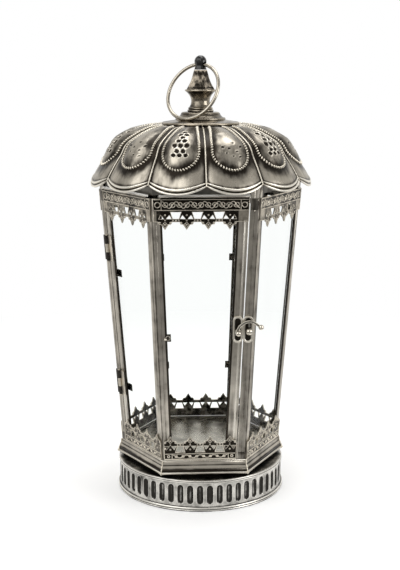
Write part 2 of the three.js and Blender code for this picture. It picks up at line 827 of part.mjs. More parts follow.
// Stitches two rows of points that run the same way. Each point is [index, place along its row].
function stitch(indices, upper, lower) {
  let [i, j] = [0, 0];
  while (i < upper.length - 1 || j < lower.length - 1) {
    const upperNext = i < upper.length - 1 ? upper[i + 1][1] : Infinity;
    const lowerNext = j < lower.length - 1 ? lower[j + 1][1] : Infinity;
    if (upperNext <= lowerNext) {
      indices.push(upper[i][0], lower[j][0], upper[i + 1][0]);
      i += 1;
    } else {
      indices.push(upper[i][0], lower[j][0], lower[j + 1][0]);
      j += 1;
    }
  }
}

// One petal as a closed shell: a modelled outside, a plain inside and the edges between them.
function petal() {
  const points = [];
  const add = (point) => points.push(point) - 1;
  const addLifted = (share, across, lift) => [add(petalPoint(share, across, lift)), across];
  const outside = petalRows().map(([share, mould]) => ({
    share,
    row: petalColumns(share).map(([across, lift]) => addLifted(share, across, lift + mould)),
  }));
  const inside = [0, 0.2, 0.4, teardropWidest, teardropFoot, 0.89, 1].map((share) => ({
    share,
    row: [-1, -0.5, 0, 0.5, 1].map((across) => addLifted(share, across, -petalThickness)),
  }));
  const indices = [];
  for (const surface of [outside, inside]) {
    const faces = [];
    for (let i = 0; i < surface.length - 1; i++) stitch(faces, surface[i].row, surface[i + 1].row);
    indices.push(...(surface === inside ? faces.reverse() : faces));
  }
  const edge = (surface, end) => surface.map(({ share, row }) => [row.at(end)[0], share]);
  const rims = [
    [edge(outside, 0), edge(inside, 0)],
    [edge(inside, -1), edge(outside, -1)],
    [inside[0].row, outside[0].row],
    [outside.at(-1).row, inside.at(-1).row],
  ];
  for (const [upper, lower] of rims) stitch(indices, upper, lower);
  return new THREE.BufferGeometry().setFromPoints(points).setIndex(indices);
}

for (let i = 0; i < petalCount; i++) {
  const angle = 270 + (i + 0.5) * (360 / petalCount);
  addPiece('roof_petal_' + String(i + 1).padStart(2, '0'), petal().rotateZ(rad(angle)), pewter);
}

// Head frame: a six-sided rail inside the posts, under a twelve-sided collar that the seams sit on
{
  const railOut = (z) => cornerRadius(z) - (lipDepth + fit) / Math.cos(rad(30));
  const rail = revolve([
    [railOut(headFoot) - headWidth, headFoot],
    [railOut(headFoot), headFoot],
    [railOut(collarFoot + headRailLap), collarFoot + headRailLap],
    [railOut(collarFoot + headRailLap) - headWidth, collarFoot + headRailLap],
  ], 6).rotateZ(rad(30));
  // Radius of the seams' inside at a level, less the clearance, found by walking up from the eaves
  const seamInside = (level) => {
    let place = null;
    for (let t = 1; !place || place.y < level; t -= 0.001) {
      place = seamLine.getPointAt(t).addScaledVector(seamNormal(t), -petalThickness - 2 * fit);
    }
    return place.x;
  };
  const collarIn = bodyHeadRadius - collarSetBack;
  const collarTop = collarFoot + collarHeight;
  const collar = revolve([
    [collarIn, collarFoot],
    [seamInside(collarFoot), collarFoot],
    [seamInside(collarTop), collarTop],
    [collarIn, collarTop],
  ], petalCount);
  addPiece('head_frame', join(rail, collar), darkPewter);
}

// Crown plate under the heads of the petals, the cap over them, and the nut that clamps both
const capFoot = roofTopHeight + crownAtTop + 2 * fit;
const capTop = capFoot + capCollarHeight;
const discTop = capFoot + capLipHeight;
const crownTop = roofTopHeight - petalThickness - fit - crownPlateDrop;
const crownPlateRadius = roofTopRadius + crownPlateOverlap;
const crownFoot = crownTop - crownPlateThickness;
addPiece('crown_plate', revolve([
  [rodRadius + fit, crownFoot],
  [crownPlateRadius, crownFoot],
  [crownPlateRadius, crownTop],
  [rodRadius + fit, crownTop],
], 12), darkPewter);
const nutBore = (rodRadius + fit) / Math.cos(rad(30));
addPiece('finial_nut', revolve([
  [nutBore, crownFoot - fit - nutHeight],
  [nutRadius, crownFoot - fit - nutHeight],
  [nutRadius, crownFoot - fit],
  [nutBore, crownFoot - fit],
], 6), darkPewter);
addPiece('roof_cap', revolve([
  [rodRadius + fit, capFoot],
  [capRadius - capLipRound, capFoot],
  [capRadius, capFoot + capLipRound],
  [capRadius, capFoot + capLipRound + capLipEdge],
  [capRadius - capLipRound, discTop],
  [capNeckRadius, discTop],
  [capCollarRadius + capCollarFlare, capTop - capCollarRound - capCollarBand],
  [capCollarRadius, capTop - capCollarRound],
  [capCollarRadius - capCollarTopIn, capTop],
  [rodRadius + fit, capTop],
], 24), pewter);

// Finial: a turned baluster under an eight-sided cone, with the rod that runs down through the roof
const balusterFoot = capTop + fit;
const coneFoot = balusterFoot + balusterHeight;
const coneTop = coneFoot + coneHeight;
{
  const ringTop = balusterFoot + balusterFootHeight;
  const waist = balusterFoot + balusterWaistHeight;
  const baluster = revolve([
    [0, balusterFoot],
    [balusterFootRadius - balusterFootRound, balusterFoot],
    [balusterFootRadius, balusterFoot + balusterFootRound],
    [balusterFootRadius, ringTop - balusterFootRound],
    [balusterFootRadius - balusterFootStep, ringTop],
    [balusterWaistRadius + balusterThroatSwell, waist - balusterThroatDrop],
    [balusterWaistRadius, waist],
    [balusterWaistRadius + balusterBellySwell, waist + balusterBellyRise],
    [balusterWaistRadius + balusterFlareSwell, waist + balusterFlareRise],
    [balusterRimRadius - 2 * balusterRimRound, coneFoot - balusterRimRound],
    [balusterRimRadius, coneFoot + balusterRimRound],
    [balusterRimRadius, coneFoot + balusterRimHeight - balusterRimRound],
    [balusterRimRadius - balusterRimRound, coneFoot + balusterRimHeight],
    [0, coneFoot + balusterRimHeight],
  ], 20);
  const cone = revolve([
    [0, coneFoot],
    [coneFootRadius - coneFootRound, coneFoot],
    [coneFootRadius, coneFoot + coneFootRise],
    [coneTopRadius + coneLowSwell, coneFoot + coneHeight * coneLowShare],
    [coneTopRadius + coneMiddleSwell, coneFoot + coneHeight * coneMiddleShare],
    [coneTopRadius + coneHighSwell, coneFoot + coneHeight * coneHighShare],
    [coneTopRadius, coneTop],
    [0, coneTop],
  ], coneSides).rotateZ(rad(180 / coneSides));
  const shaft = rod(
    rodRadius,
    new THREE.Vector3(0, 0, crownFoot - fit - nutHeight - rodTail),
    new THREE.Vector3(0, 0, balusterFoot + balusterFootRound),
    12,
  );
  addPiece('finial_spindle', join(baluster, cone, shaft), pewter);
}

// Ball on a neck, with the cross hole that the ring hangs through
const ballFoot = coneTop + fit;
const ballCentre = ballFoot + ballNeckHeight + ballRadius / 2;
const ringPivot = new THREE.Vector3(0, 0, ballFoot + ringHoleHeight);
{
  const profile = [
    [0, ballFoot],
    [ballFootRadius, ballFoot],
    [ballFootRadius - ballFootTaper, ballFoot + ballFootRise],
    [ballNeckRadius, ballFoot + ballNeckLevel],
  ];
  for (let angle = -30; angle < 90; angle += 20) {
    profile.push([ballRadius * Math.cos(rad(angle)), ballCentre + ballRadius * Math.sin(rad(angle))]);
  }
  profile.push([0, ballCentre + ballRadius]);
  const up = new THREE.Vector3(0, 0, 1);
  const reach = new THREE.Vector3(2 * ballRadius, 0, 0).applyAxisAngle(up, rad(ringYaw));
  const hole = rod(ringHoleRadius, ringPivot.clone().sub(reach), ringPivot.clone().add(reach), 12);
  addPiece('finial_ball', cut(revolve(profile, 16), hole), blackBall);
}

// Carrying ring: it leans out until its foot rests on the cap's disc
{
  const drop = ringPivot.z - discTop - ringWire - fit;
  const lean = Math.acos(drop / (2 * ringRadius));
  const swing = new THREE.Group();
  swing.position.copy(ringPivot);
  swing.rotation.set(-lean, 0, rad(ringYaw), 'ZXY');
  lantern.add(swing);
  const ring = weld(new THREE.TorusGeometry(ringRadius, ringWire, 7, 36)).rotateX(Math.PI / 2);
  addPiece('carry_ring', ring.translate(0, 0, -ringRadius), brightSteel, swing);
}

// Hinges. The pin runs along the gap between the hinge post and the door, proud of both.
const hingeAlong = flangeWidth + doorGap / 2;

function circleSection(side, along, deep, radius, sides) {
  const points = [];
  const [cx, cy] = foldPoint(side, along, deep);
  for (let i = 0; i < sides; i++) {
    const angle = ((i + 0.5) / sides) * 2 * Math.PI;
    points.push([cx + radius * Math.cos(angle), cy + radius * Math.sin(angle)]);
  }
  return points;
}

function hingeLeaf(level, from, to, knuckleSpans) {
  const start = level - hingeLength / 2;
  const leaf = upCorner([
    foldPoint(1, from, -fit),
    foldPoint(1, to, -fit),
    foldPoint(1, to, -fit - hingeLeafThickness),
    foldPoint(1, from, -fit - hingeLeafThickness),
  ], cornerAngles.hinge, start, start + hingeLength);
  const pinDeep = -knuckleRadius - fit;
  const relief = upCorner(
    circleSection(1, hingeAlong, pinDeep, knuckleRadius + fit, 10),
    cornerAngles.hinge, start - cutterOvershoot, start + hingeLength + cutterOvershoot,
  );
  const knuckles = knuckleSpans.map(([a, b]) => upCorner(
    circleSection(1, hingeAlong, pinDeep, knuckleRadius, 10),
    cornerAngles.hinge, start + a, start + b,
  ));
  const near = from < hingeAlong ? to - hingeTongueLap : hingeAlong;
  const far = from < hingeAlong ? hingeAlong : from + hingeTongueLap;
  const tongues = knuckleSpans.map(([a, b]) => upCorner([
    foldPoint(1, near, -fit),
    foldPoint(1, far, -fit),
    foldPoint(1, far, -fit - hingeLeafThickness),
    foldPoint(1, near, -fit - hingeLeafThickness),
  ], cornerAngles.hinge, start + a, start + b));
  const bore = upCorner(
    circleSection(1, hingeAlong, pinDeep, hingePinRadius + fit, 8),
    cornerAngles.hinge, start - cutterOvershoot, start + hingeLength + cutterOvershoot,
  );
  return cut(join(cut(leaf, relief), ...knuckles, ...tongues), bore);
}

const hingeFrom = hingeAlong - knuckleRadius - fit - hingeLeafWidth + hingeLeafTuck;
const hingeDoorFrom = hingeAlong + knuckleRadius + fit - hingeLeafTuck;
const hingeLevels = [bodyFoot + hingeFootRise, collarFoot - hingeHeadDrop];
hingeLevels.forEach((level, i) => {
  const place = ['foot', 'head'][i];
  const third = hingeLength / 3;
  addPiece('hinge_post_leaf_' + place, hingeLeaf(level, hingeFrom, hingeFrom + hingeLeafWidth, [
    [0, third - fit],
    [2 * third + fit, hingeLength],
  ]), darkPewter);
  addPiece('hinge_door_leaf_' + place, hingeLeaf(level, hingeDoorFrom, hingeDoorFrom + hingeLeafWidth, [
    [third, 2 * third],
  ]), pewter);
  const pinDeep = -knuckleRadius - fit;
  const start = level - hingeLength / 2;
  const pin = (from, to, radius) => upCorner(
    circleSection(1, hingeAlong, pinDeep, radius, 8),
    cornerAngles.hinge, from, to,
  );
  const [under, over] = [start - fit, start + hingeLength + fit];
  addPiece('hinge_pin_' + place, join(
    pin(under - hingePinEnd, over + hingePinEnd, hingePinRadius),
    pin(over, over + hingePinHeadHeight, hingePinHead),
    pin(under - hingePinHeadHeight, under, hingePinHead),
  ), brightSteel);
});

// Latch: a hooked lever on the door that drops over a ball on the post
{
  const front = 270;
  const level = slope(latchLevel);
  const doorPlateX = halfFace(latchLevel) - latchNear - latchStileWidth / 2 + latchDoorPlateShift;
  const postPlateX = halfFace(latchLevel) - flangeWidth / 2 - latchPostPlateShift;
  const plate = (x) => extrude(slotOutline(latchPlateWidth, latchPlateHeight, 6), latchPlateThickness)
    .translate(x, level, 0);
  const plateTop = fit + latchPlateThickness;
  const pivotY = level - latchPivotDrop;
  const ballAt = (x, y, z, radius) => weld(new THREE.SphereGeometry(radius, 10, 7))
    .rotateX(Math.PI / 2)
    .translate(x, y, z);
  addPiece('latch_door_plate', onFace(plate(doorPlateX), front, fit), pewter);
  addPiece('latch_post_plate', onFace(plate(postPlateX), front, fit), pewter);

  // Pivot stud with its ball head, standing on the door plate
  const pivotZ = plateTop + fit;
  const hookZ = pivotZ + fit + hookWire;
  const pivotBallZ = hookZ + hookWire + fit + latchBallRadius;
  const pivotFrom = new THREE.Vector3(doorPlateX, pivotY, pivotZ);
  const pivotTo = new THREE.Vector3(doorPlateX, pivotY, pivotBallZ);
  addPiece('latch_pivot', onFace(join(
    rod(latchPinRadius, pivotFrom, pivotTo, 10),
    ballAt(doorPlateX, pivotY, pivotBallZ, latchBallRadius),
  ), front), brightSteel);

  // Catch: a stem and ball on the post plate
  const catchX = postPlateX + catchShift;
  const catchY = level - catchDrop;
  const catchZ = plateTop + fit + catchReach;
  const catchFrom = new THREE.Vector3(catchX, catchY, plateTop + fit);
  const catchTo = new THREE.Vector3(catchX, catchY, catchZ);
  addPiece('latch_catch', onFace(join(
    rod(latchPinRadius, catchFrom, catchTo, 10),
    ballAt(catchX, catchY, catchZ, catchBallRadius),
  ), front), brightSteel);

  // Hook: an eye round the pivot, an arched bar over the catch, a tooth and a ball end
  const eyeRod = (radius, reach, sides) => rod(
    radius,
    new THREE.Vector3(doorPlateX, pivotY, hookZ - reach),
    new THREE.Vector3(doorPlateX, pivotY, hookZ + reach),
    sides,
  );
  const eye = eyeRod(latchPinRadius + fit + hookEyeWidth, hookWire, 14);
  const eyeHole = eyeRod(latchPinRadius + fit, hookWire + cutterOvershoot, 12);
  const start = latchPinRadius + fit + hookEyeWidth / 2;
  const arch = new THREE.CatmullRomCurve3([
    [-1, start],
    [hookSpan * 0.1, hookRise * 0.6],
    [hookSpan * 0.36, hookRise * 0.95],
    [hookSpan * 0.6, hookRise],
    [hookSpan * 0.82, hookRise * 0.8],
    [hookSpan, hookRise * 0.52],
  ].map(([x, y]) => new THREE.Vector3(doorPlateX + x, pivotY + y, hookZ)));
  const section = new THREE.Shape().absarc(0, 0, hookWire, 0, 2 * Math.PI);
  const drawn = { steps: 10, curveSegments: 4, bevelEnabled: false, extrudePath: arch };
  const bar = weld(new THREE.ExtrudeGeometry(section, drawn));
  const toothFrom = new THREE.Vector3(catchX, catchY + catchBallRadius + fit + toothGap, hookZ);
  const toothTo = new THREE.Vector3(catchX, pivotY + hookRise - toothGap, hookZ);
  const tooth = rod(hookWire - toothGap, toothFrom, toothTo, 8);
  const endX = doorPlateX + hookSpan + hookEndRadius / 2;
  const end = ballAt(endX, pivotY + hookRise * 0.44, hookZ, hookEndRadius);
  addPiece('latch_hook', onFace(cut(join(eye, bar, tooth, end), eyeHole), front), brightSteel);
}

export default lantern;
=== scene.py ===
from math import atan, cos, pi, radians, sin, sqrt

import bmesh
import bpy
import numpy as np
from mathutils import Euler, Matrix, Vector


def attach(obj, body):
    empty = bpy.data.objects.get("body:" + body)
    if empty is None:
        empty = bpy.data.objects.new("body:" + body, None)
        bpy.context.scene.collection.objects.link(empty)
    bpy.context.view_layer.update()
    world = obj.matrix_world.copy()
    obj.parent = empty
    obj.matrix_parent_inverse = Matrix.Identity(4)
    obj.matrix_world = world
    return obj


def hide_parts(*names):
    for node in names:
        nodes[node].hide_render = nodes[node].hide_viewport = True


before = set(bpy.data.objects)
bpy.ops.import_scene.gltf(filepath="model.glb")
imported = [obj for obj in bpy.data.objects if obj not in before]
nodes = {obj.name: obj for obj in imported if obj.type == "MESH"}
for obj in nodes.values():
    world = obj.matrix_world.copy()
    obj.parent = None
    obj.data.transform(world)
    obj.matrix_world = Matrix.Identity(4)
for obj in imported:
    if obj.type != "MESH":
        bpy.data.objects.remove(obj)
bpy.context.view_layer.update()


# Camera: a 70 mm lens level with the finial, looking down on the lantern by 11 degrees and
# turned a little to its right, as the photograph was taken.
camera_place = (-0.0642, -1.1988, 0.46295)
camera_tilt = radians(78.88)
camera_turn = radians(-3.04)
camera_lens = 70.12
camera = bpy.data.objects.new("camera", bpy.data.cameras.new("camera"))
camera.location = camera_place
camera.rotation_euler = Euler((camera_tilt, 0, camera_turn))
camera.data.lens = camera_lens
bpy.context.scene.collection.objects.link(camera)
bpy.context.scene.camera = camera
bpy.context.scene.view_settings.view_transform = "Standard"


# Floor: a wide pale sweep of studio paper. It takes the lantern's shadow near the foot and
# fades into the white backdrop further out; in reflections it is darker in front.
def shader_tree(name):
    """A new material with an empty node tree."""
    material = bpy.data.materials.new(name)
    material.use_nodes = True
    tree = material.node_tree
    tree.nodes.clear()
    return material, tree


def add_node(tree, kind, inputs=None, **settings):
    """A new shader node, with its settings, and with its inputs linked or set."""
    node = tree.nodes.new("ShaderNode" + kind)
    for key, value in settings.items():
        setattr(node, key, value)
    for key, value in (inputs or {}).items():
        if isinstance(value, bpy.types.NodeSocket):
            tree.links.new(value, node.inputs[key])
        else:
            node.inputs[key].default_value = value
    return node


floor_reach = 6
paper_colour = (0.88, 0.88, 0.88, 1)
paper_from = 0.3
paper_to = 0.9
paper_shine = 0.2
mirror_from = 0.15
mirror_to = 0.45
mirror_front_edge = -0.3
mirror_back_edge = 0.5
mirror_front = 0.25
mirror_back = 0.95
mirror_colour = (1, 0.98, 0.95, 1)
bm = bmesh.new()
bmesh.ops.create_grid(bm, x_segments=1, y_segments=1, size=floor_reach)
floor_mesh = bpy.data.meshes.new("studio_floor")
bm.to_mesh(floor_mesh)
bm.free()
floor = bpy.data.objects.new("studio_floor", floor_mesh)
bpy.context.scene.collection.objects.link(floor)
material, tree = shader_tree("studio_paper")
place = add_node(tree, "TexCoord")
away = add_node(tree, "VectorMath", {0: place.outputs["Object"]}, operation="LENGTH")
fade = add_node(tree, "MapRange", {
    "Value": away.outputs["Value"], "From Min": paper_from, "From Max": paper_to,
})
paper = add_node(tree, "BsdfDiffuse", {"Color": paper_colour})
path = add_node(tree, "LightPath")
looked_at = add_node(tree, "Math", {
    0: path.outputs["Is Camera Ray"], 1: path.outputs["Is Glossy Ray"],
}, operation="ADD")
paper_lift = add_node(tree, "Math", {
    0: looked_at.outputs["Value"], 1: path.outputs["Is Transmission Ray"],
}, operation="ADD", use_clamp=True)
lift_strength = add_node(tree, "MapRange", {"Value": paper_lift.outputs["Value"], "To Max": paper_shine})
lift = add_node(tree, "Emission", {"Color": (1, 1, 1, 1), "Strength": lift_strength.outputs["Result"]})
lit_paper = add_node(tree, "AddShader", {0: paper.outputs["BSDF"], 1: lift.outputs["Emission"]})
glow = add_node(tree, "Emission", {"Color": (1, 1, 1, 1), "Strength": 1.0})
sweep = add_node(tree, "MixShader", {
    0: fade.outputs["Result"], 1: lit_paper.outputs["Shader"], 2: glow.outputs["Emission"],
})
side = add_node(tree, "SeparateXYZ", {"Vector": place.outputs["Object"]})
mirror_strength = add_node(tree, "MapRange", {
    "Value": side.outputs["Y"], "From Min": mirror_front_edge, "From Max": mirror_back_edge,
    "To Min": mirror_front, "To Max": mirror_back,
})
mirrored = add_node(tree, "Emission", {
    "Color": mirror_colour, "Strength": mirror_strength.outputs["Result"],
})
bounced = add_node(tree, "Math", {
    0: path.outputs["Is Glossy Ray"], 1: path.outputs["Is Transmission Ray"],
}, operation="SUBTRACT", use_clamp=True)
mirror_fade = add_node(tree, "MapRange", {
    "Value": away.outputs["Value"], "From Min": mirror_from, "From Max": mirror_to,
    "To Max": bounced.outputs["Value"],
})
mixed = add_node(tree, "MixShader", {
    0: mirror_fade.outputs["Result"], 1: sweep.outputs["Shader"], 2: mirrored.outputs["Emission"],
})
add_node(tree, "OutputMaterial", {"Surface": mixed.outputs["Shader"]})
floor_mesh.materials.append(material)


# Light: a white backdrop for the camera and through the glass. Reflections see a room that is dim
# in front and bright at the back, where the backdrop stands, and three soft boxes.
room_colour = (1, 0.99, 0.97, 1)
room_front_edge = -0.1
room_back_edge = 0.6
room_front = 0.5
room_back = 0.85
# Place, size and power of each soft box, in metres and watts
soft_boxes = {
    "key_light": ((-1.1, -1.0, 1.25), 1.7, 15),
    "fill_light": ((1.3, -0.7, 0.75), 0.9, 9),
    "top_light": ((0.1, 0.25, 1.7), 1.0, 9),
}
lamp_aim = Vector((0, 0, 0.22))
world = bpy.data.worlds.new("studio")
bpy.context.scene.world = world
world.use_nodes = True
tree = world.node_tree
tree.nodes.clear()
path = add_node(tree, "LightPath")
seen = add_node(tree, "Math", {
    0: path.outputs["Is Camera Ray"], 1: path.outputs["Is Transmission Ray"],
}, operation="MAXIMUM")
room_place = add_node(tree, "TexCoord")
room_side = add_node(tree, "SeparateXYZ", {"Vector": room_place.outputs["Generated"]})
room_strength = add_node(tree, "MapRange", {
    "Value": room_side.outputs["Y"], "From Min": room_front_edge, "From Max": room_back_edge,
    "To Min": room_front, "To Max": room_back,
}, interpolation_type="SMOOTHSTEP")
room = add_node(tree, "Background", {
    "Color": room_colour, "Strength": room_strength.outputs["Result"],
})
white = add_node(tree, "Background", {"Color": (1, 1, 1, 1), "Strength": 1})
mixed = add_node(tree, "MixShader", {
    0: seen.outputs["Value"], 1: room.outputs["Background"], 2: white.outputs["Background"],
})
add_node(tree, "OutputWorld", {"Surface": mixed.outputs["Shader"]})

for name, (spot, size, power) in soft_boxes.items():
    lamp = bpy.data.objects.new(name, bpy.data.lights.new(name, "AREA"))
    lamp.data.size = size
    lamp.data.energy = power
    lamp.location = spot
    lamp.rotation_euler = (Vector(spot) - lamp_aim).to_track_quat("Z", "Y").to_euler()
    bpy.context.scene.collection.objects.link(lamp)


# Drum: the round foot, pressed from sheet steel and plated. It has a rolled foot bead, a row of
# hollow flutes with round ends, and a double bead at the rim; dark patina and painted shade are
# left in the hollows, painted highlights lie on the beads and the flutes' lips, and each flute is
# painted lighter down its middle as a reflection.
mm = 0.001
# Colour of plating worn bright, which also serves as painted highlight on crests and folds
wear_and_highlight_colour = (0.9, 0.86, 0.77, 1)
wear_highlight_from = -0.1
wear_highlight_to = -0.6
cloud_scale = 55
# The sum of the two noises between which the gloss changes, and how far each way
gloss_from = 0.7
gloss_to = 1.3
gloss_gain = 0.07
gloss_loss = 0.12
ripple_height = 0.0006


def metal(
    name, pale, dark, rough, grain_scale, clean=0.9, dirty=1.75, grain_place="Object", bump=0.12, metallic=1,
):
    """Plated metal with dark patina: streaks along the grain, clouds, and darker hollows, where the
    attribute adds patina together with painted shade. The plating shows below the level clean, and
    only the dark colour above the level dirty. Where the attribute is below zero the plating is
    painted bright, as worn plating and, on crests and folds, as a painted highlight."""
    material, tree = shader_tree(name)
    place = add_node(tree, "TexCoord")
    if grain_place == "Object":
        along = place.outputs["Object"]
    else:
        along = add_node(tree, "Attribute", attribute_name=grain_place).outputs["Vector"]
    stretch = add_node(tree, "Mapping", {"Vector": along, "Scale": grain_scale})
    streaks = add_node(tree, "TexNoise", {
        "Vector": stretch.outputs["Vector"], "Scale": 1, "Detail": 4, "Roughness": 0.6,
    })
    clouds = add_node(tree, "TexNoise", {
        "Vector": place.outputs["Object"], "Scale": cloud_scale, "Detail": 3, "Roughness": 0.55,
    })
    patina_and_shade_in = add_node(tree, "Attribute", attribute_name="patina_and_shade")
    both = add_node(tree, "Math", {
        0: streaks.outputs["Fac"], 1: clouds.outputs["Fac"],
    }, operation="ADD")
    dirt_and_shade = add_node(tree, "Math", {
        0: patina_and_shade_in.outputs["Fac"], 1: both.outputs["Value"],
    }, operation="ADD")
    shade = add_node(tree, "MapRange", {
        "Value": dirt_and_shade.outputs["Value"], "From Min": clean, "From Max": dirty,
    }, interpolation_type="SMOOTHSTEP")
    wear_and_highlight = add_node(tree, "MapRange", {
        "Value": patina_and_shade_in.outputs["Fac"], "From Min": wear_highlight_from, "From Max": wear_highlight_to,
    })
    plating = add_node(tree, "Mix", {
        "Factor": wear_and_highlight.outputs["Result"], "A": (*pale, 1), "B": wear_and_highlight_colour,
    }, data_type="RGBA")
    colour = add_node(tree, "Mix", {
        "Factor": shade.outputs["Result"], "A": plating.outputs[2], "B": (*dark, 1),
    }, data_type="RGBA")
    gloss = add_node(tree, "MapRange", {
        "Value": both.outputs["Value"], "From Min": gloss_from, "From Max": gloss_to,
        "To Min": rough - gloss_gain, "To Max": rough + gloss_loss,
    })
    fine = add_node(tree, "TexNoise", {
        "Vector": stretch.outputs["Vector"], "Scale": 3, "Detail": 2, "Roughness": 0.5,
    })
    ripple = add_node(tree, "Bump", {
        "Height": fine.outputs["Fac"], "Strength": bump, "Distance": ripple_height,
    })
    surface = add_node(tree, "BsdfPrincipled", {
        "Base Color": colour.outputs[2], "Metallic": metallic,
        "Roughness": gloss.outputs["Result"], "Normal": ripple.outputs["Normal"],
    })
    add_node(tree, "OutputMaterial", {"Surface": surface.outputs["BSDF"]})
    return material


def add_piece(name, bm, material, body="lantern", replaces=(), sharp=40):
    """Makes a finished mesh, shaded smooth but for edges sharper than an angle."""
    mesh = bpy.data.meshes.new(name)
    bmesh.ops.recalc_face_normals(bm, faces=bm.faces)
    bm.to_mesh(mesh)
    bm.free()
    mesh.shade_smooth()
    mesh.set_sharp_from_angle(angle=radians(sharp))
    mesh.materials.append(material)
    piece = bpy.data.objects.new(name, mesh)
    bpy.context.scene.collection.objects.link(piece)
    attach(piece, body)
    if replaces:
        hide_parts(*replaces)
    return piece


def grid_piece(columns, rows, shape):
    """A grid whose point in row i and column j is moved to shape(i, j) = (x, y, z, patina)."""
    bm = bmesh.new()
    bmesh.ops.create_grid(bm, x_segments=columns, y_segments=rows, size=0.5)
    patina_and_shade = bm.verts.layers.float.new("patina_and_shade")
    for vert in bm.verts:
        column = round((vert.co.x + 0.5) * columns)
        row = round((vert.co.y + 0.5) * rows)
        x, y, z, dirt_and_shade = shape(row, column)
        vert.co = (x * mm, y * mm, z * mm)
        vert[patina_and_shade] = dirt_and_shade
    return bm


drum_radius = 90.8
drum_height = 34.3
drum_wall = 3
drum_shelf = 2
drum_shelf_inner = 70
foot_bead = 5.2
foot_bead_reach = 1.9
rim_bead = 3.7
rim_bead_reach = 1
flute_count = 54
flute_width = 6.2
flute_foot = 7.7
flute_height = 20.8
flute_depth = 1.9
flute_lip = 0.25
lip_width = 0.7
# Lips round the flutes painted bright, as wear and highlight
lip_wear_and_highlight = 0.55
land_dirt = 0.15
# Patina and painted shade at a flute's edge, and how much lighter its middle is painted, as a reflection
flute_patina_and_shade = 1.0
flute_painted_reflection = 0.6
sheet_dirt = 0.5
# Columns across one flute and its land, as shares of the pitch
flute_columns = [-0.5, -0.39, -0.325, -0.29, -0.25, -0.17, 0, 0.17, 0.25, 0.29, 0.325, 0.39]


def flute_hollow(across, level):
    """Depth and darkness of the wall at a place in its flute's pitch. The lip is painted bright as
    wear and highlight; the hollow is dark at its edge with patina and painted shade, and painted
    lighter towards its middle as a reflection.
    """
    half = flute_width / 2
    middle = flute_foot + flute_height / 2
    beyond = max(0, abs(level - middle) - (flute_height / 2 - half))
    inside = half - sqrt(across * across + beyond * beyond)
    if inside < 0:
        lip = max(0, 1 + inside / lip_width)
        return -flute_lip * lip, land_dirt - lip_wear_and_highlight * lip
    curve = min(1, inside / half)
    return flute_depth * sqrt(1 - (1 - curve) ** 2), flute_patina_and_shade - flute_painted_reflection * curve


flute_head = flute_foot + flute_height
lip_steps = [1.1, 0.35]
round_steps = [0, 0.08, 0.3, 0.6, 1]
straight_levels = [14.5, 21.5]
wall_levels = [foot_bead] + [flute_foot - step for step in lip_steps]
wall_levels += [flute_foot + flute_width / 2 * step for step in round_steps] + straight_levels
wall_levels += [flute_head - flute_width / 2 * step for step in reversed(round_steps)]
wall_levels += [flute_head + step for step in reversed(lip_steps)] + [drum_height - rim_bead]
bead_out = drum_radius + foot_bead_reach
rim_out = drum_radius + rim_bead_reach
drum_inner = drum_radius - drum_wall
shelf_under = drum_height - drum_shelf
# Rows up the outside, over the shelf and down the inside: radius, level and darkness; the
# darkness holds patina with painted shade between the beads and painted highlight on their crests
drum_rows = [
    (bead_out - 0.6, 0, 0.9), (bead_out, 0.9, 0.4), (bead_out, 1.6, -0.3), (bead_out - 0.8, 2.3, 1.0),
    (bead_out - 0.75, 2.6, 1.0), (bead_out, 3.0, 0.0), (bead_out, 3.7, -0.4), (bead_out - 0.5, 4.5, -0.1),
    (bead_out - 1.3, 4.9, 1.0),
]
drum_rows += [(drum_radius, level, None) for level in wall_levels]
drum_rows += [
    (drum_radius + 0.1, drum_height - 3.5, 0.9), (rim_out - 0.2, drum_height - 3.2, 0.1),
    (rim_out, drum_height - 2.7, -0.4), (rim_out - 0.25, drum_height - 2.2, 0.1),
    (rim_out - 0.7, drum_height - 1.95, 1.0), (rim_out - 0.3, drum_height - 1.6, 0.1),
    (rim_out - 0.1, drum_height - 0.9, -0.4), (rim_out - 0.5, drum_height - 0.25, 0),
    (rim_out - 1.3, drum_height, 0.2), (rim_out - 4, drum_height - 0.1, 0.4),
    (drum_shelf_inner, drum_height, sheet_dirt), (drum_shelf_inner, shelf_under, sheet_dirt),
    (drum_inner, shelf_under, sheet_dirt), (drum_inner, 0, sheet_dirt), (bead_out - 0.6, 0, 0.6),
]


def drum_point(row, column):
    """Place and darkness of one point of the drum's grid."""
    radius, level, dirt_and_shade = drum_rows[row]
    flute, step = divmod(column, len(flute_columns))
    share = flute_columns[step]
    if dirt_and_shade is None:
        depth, dirt_and_shade = flute_hollow(share * 2 * pi * drum_radius / flute_count, level)
        radius -= depth
    turn = (flute + 0.5 + share) * 2 * pi / flute_count
    return radius * sin(turn), -radius * cos(turn), level, dirt_and_shade


drum_pewter = metal("drum_pewter", (0.67, 0.65, 0.605), (0.03, 0.028, 0.025), 0.27, (70, 70, 70), dirty=1.6)
bm = grid_piece(flute_count * len(flute_columns), len(drum_rows) - 1, drum_point)
bmesh.ops.remove_doubles(bm, verts=bm.verts, dist=1e-6)
add_piece("drum", bm, drum_pewter, replaces=["base_ring"], sharp=55)


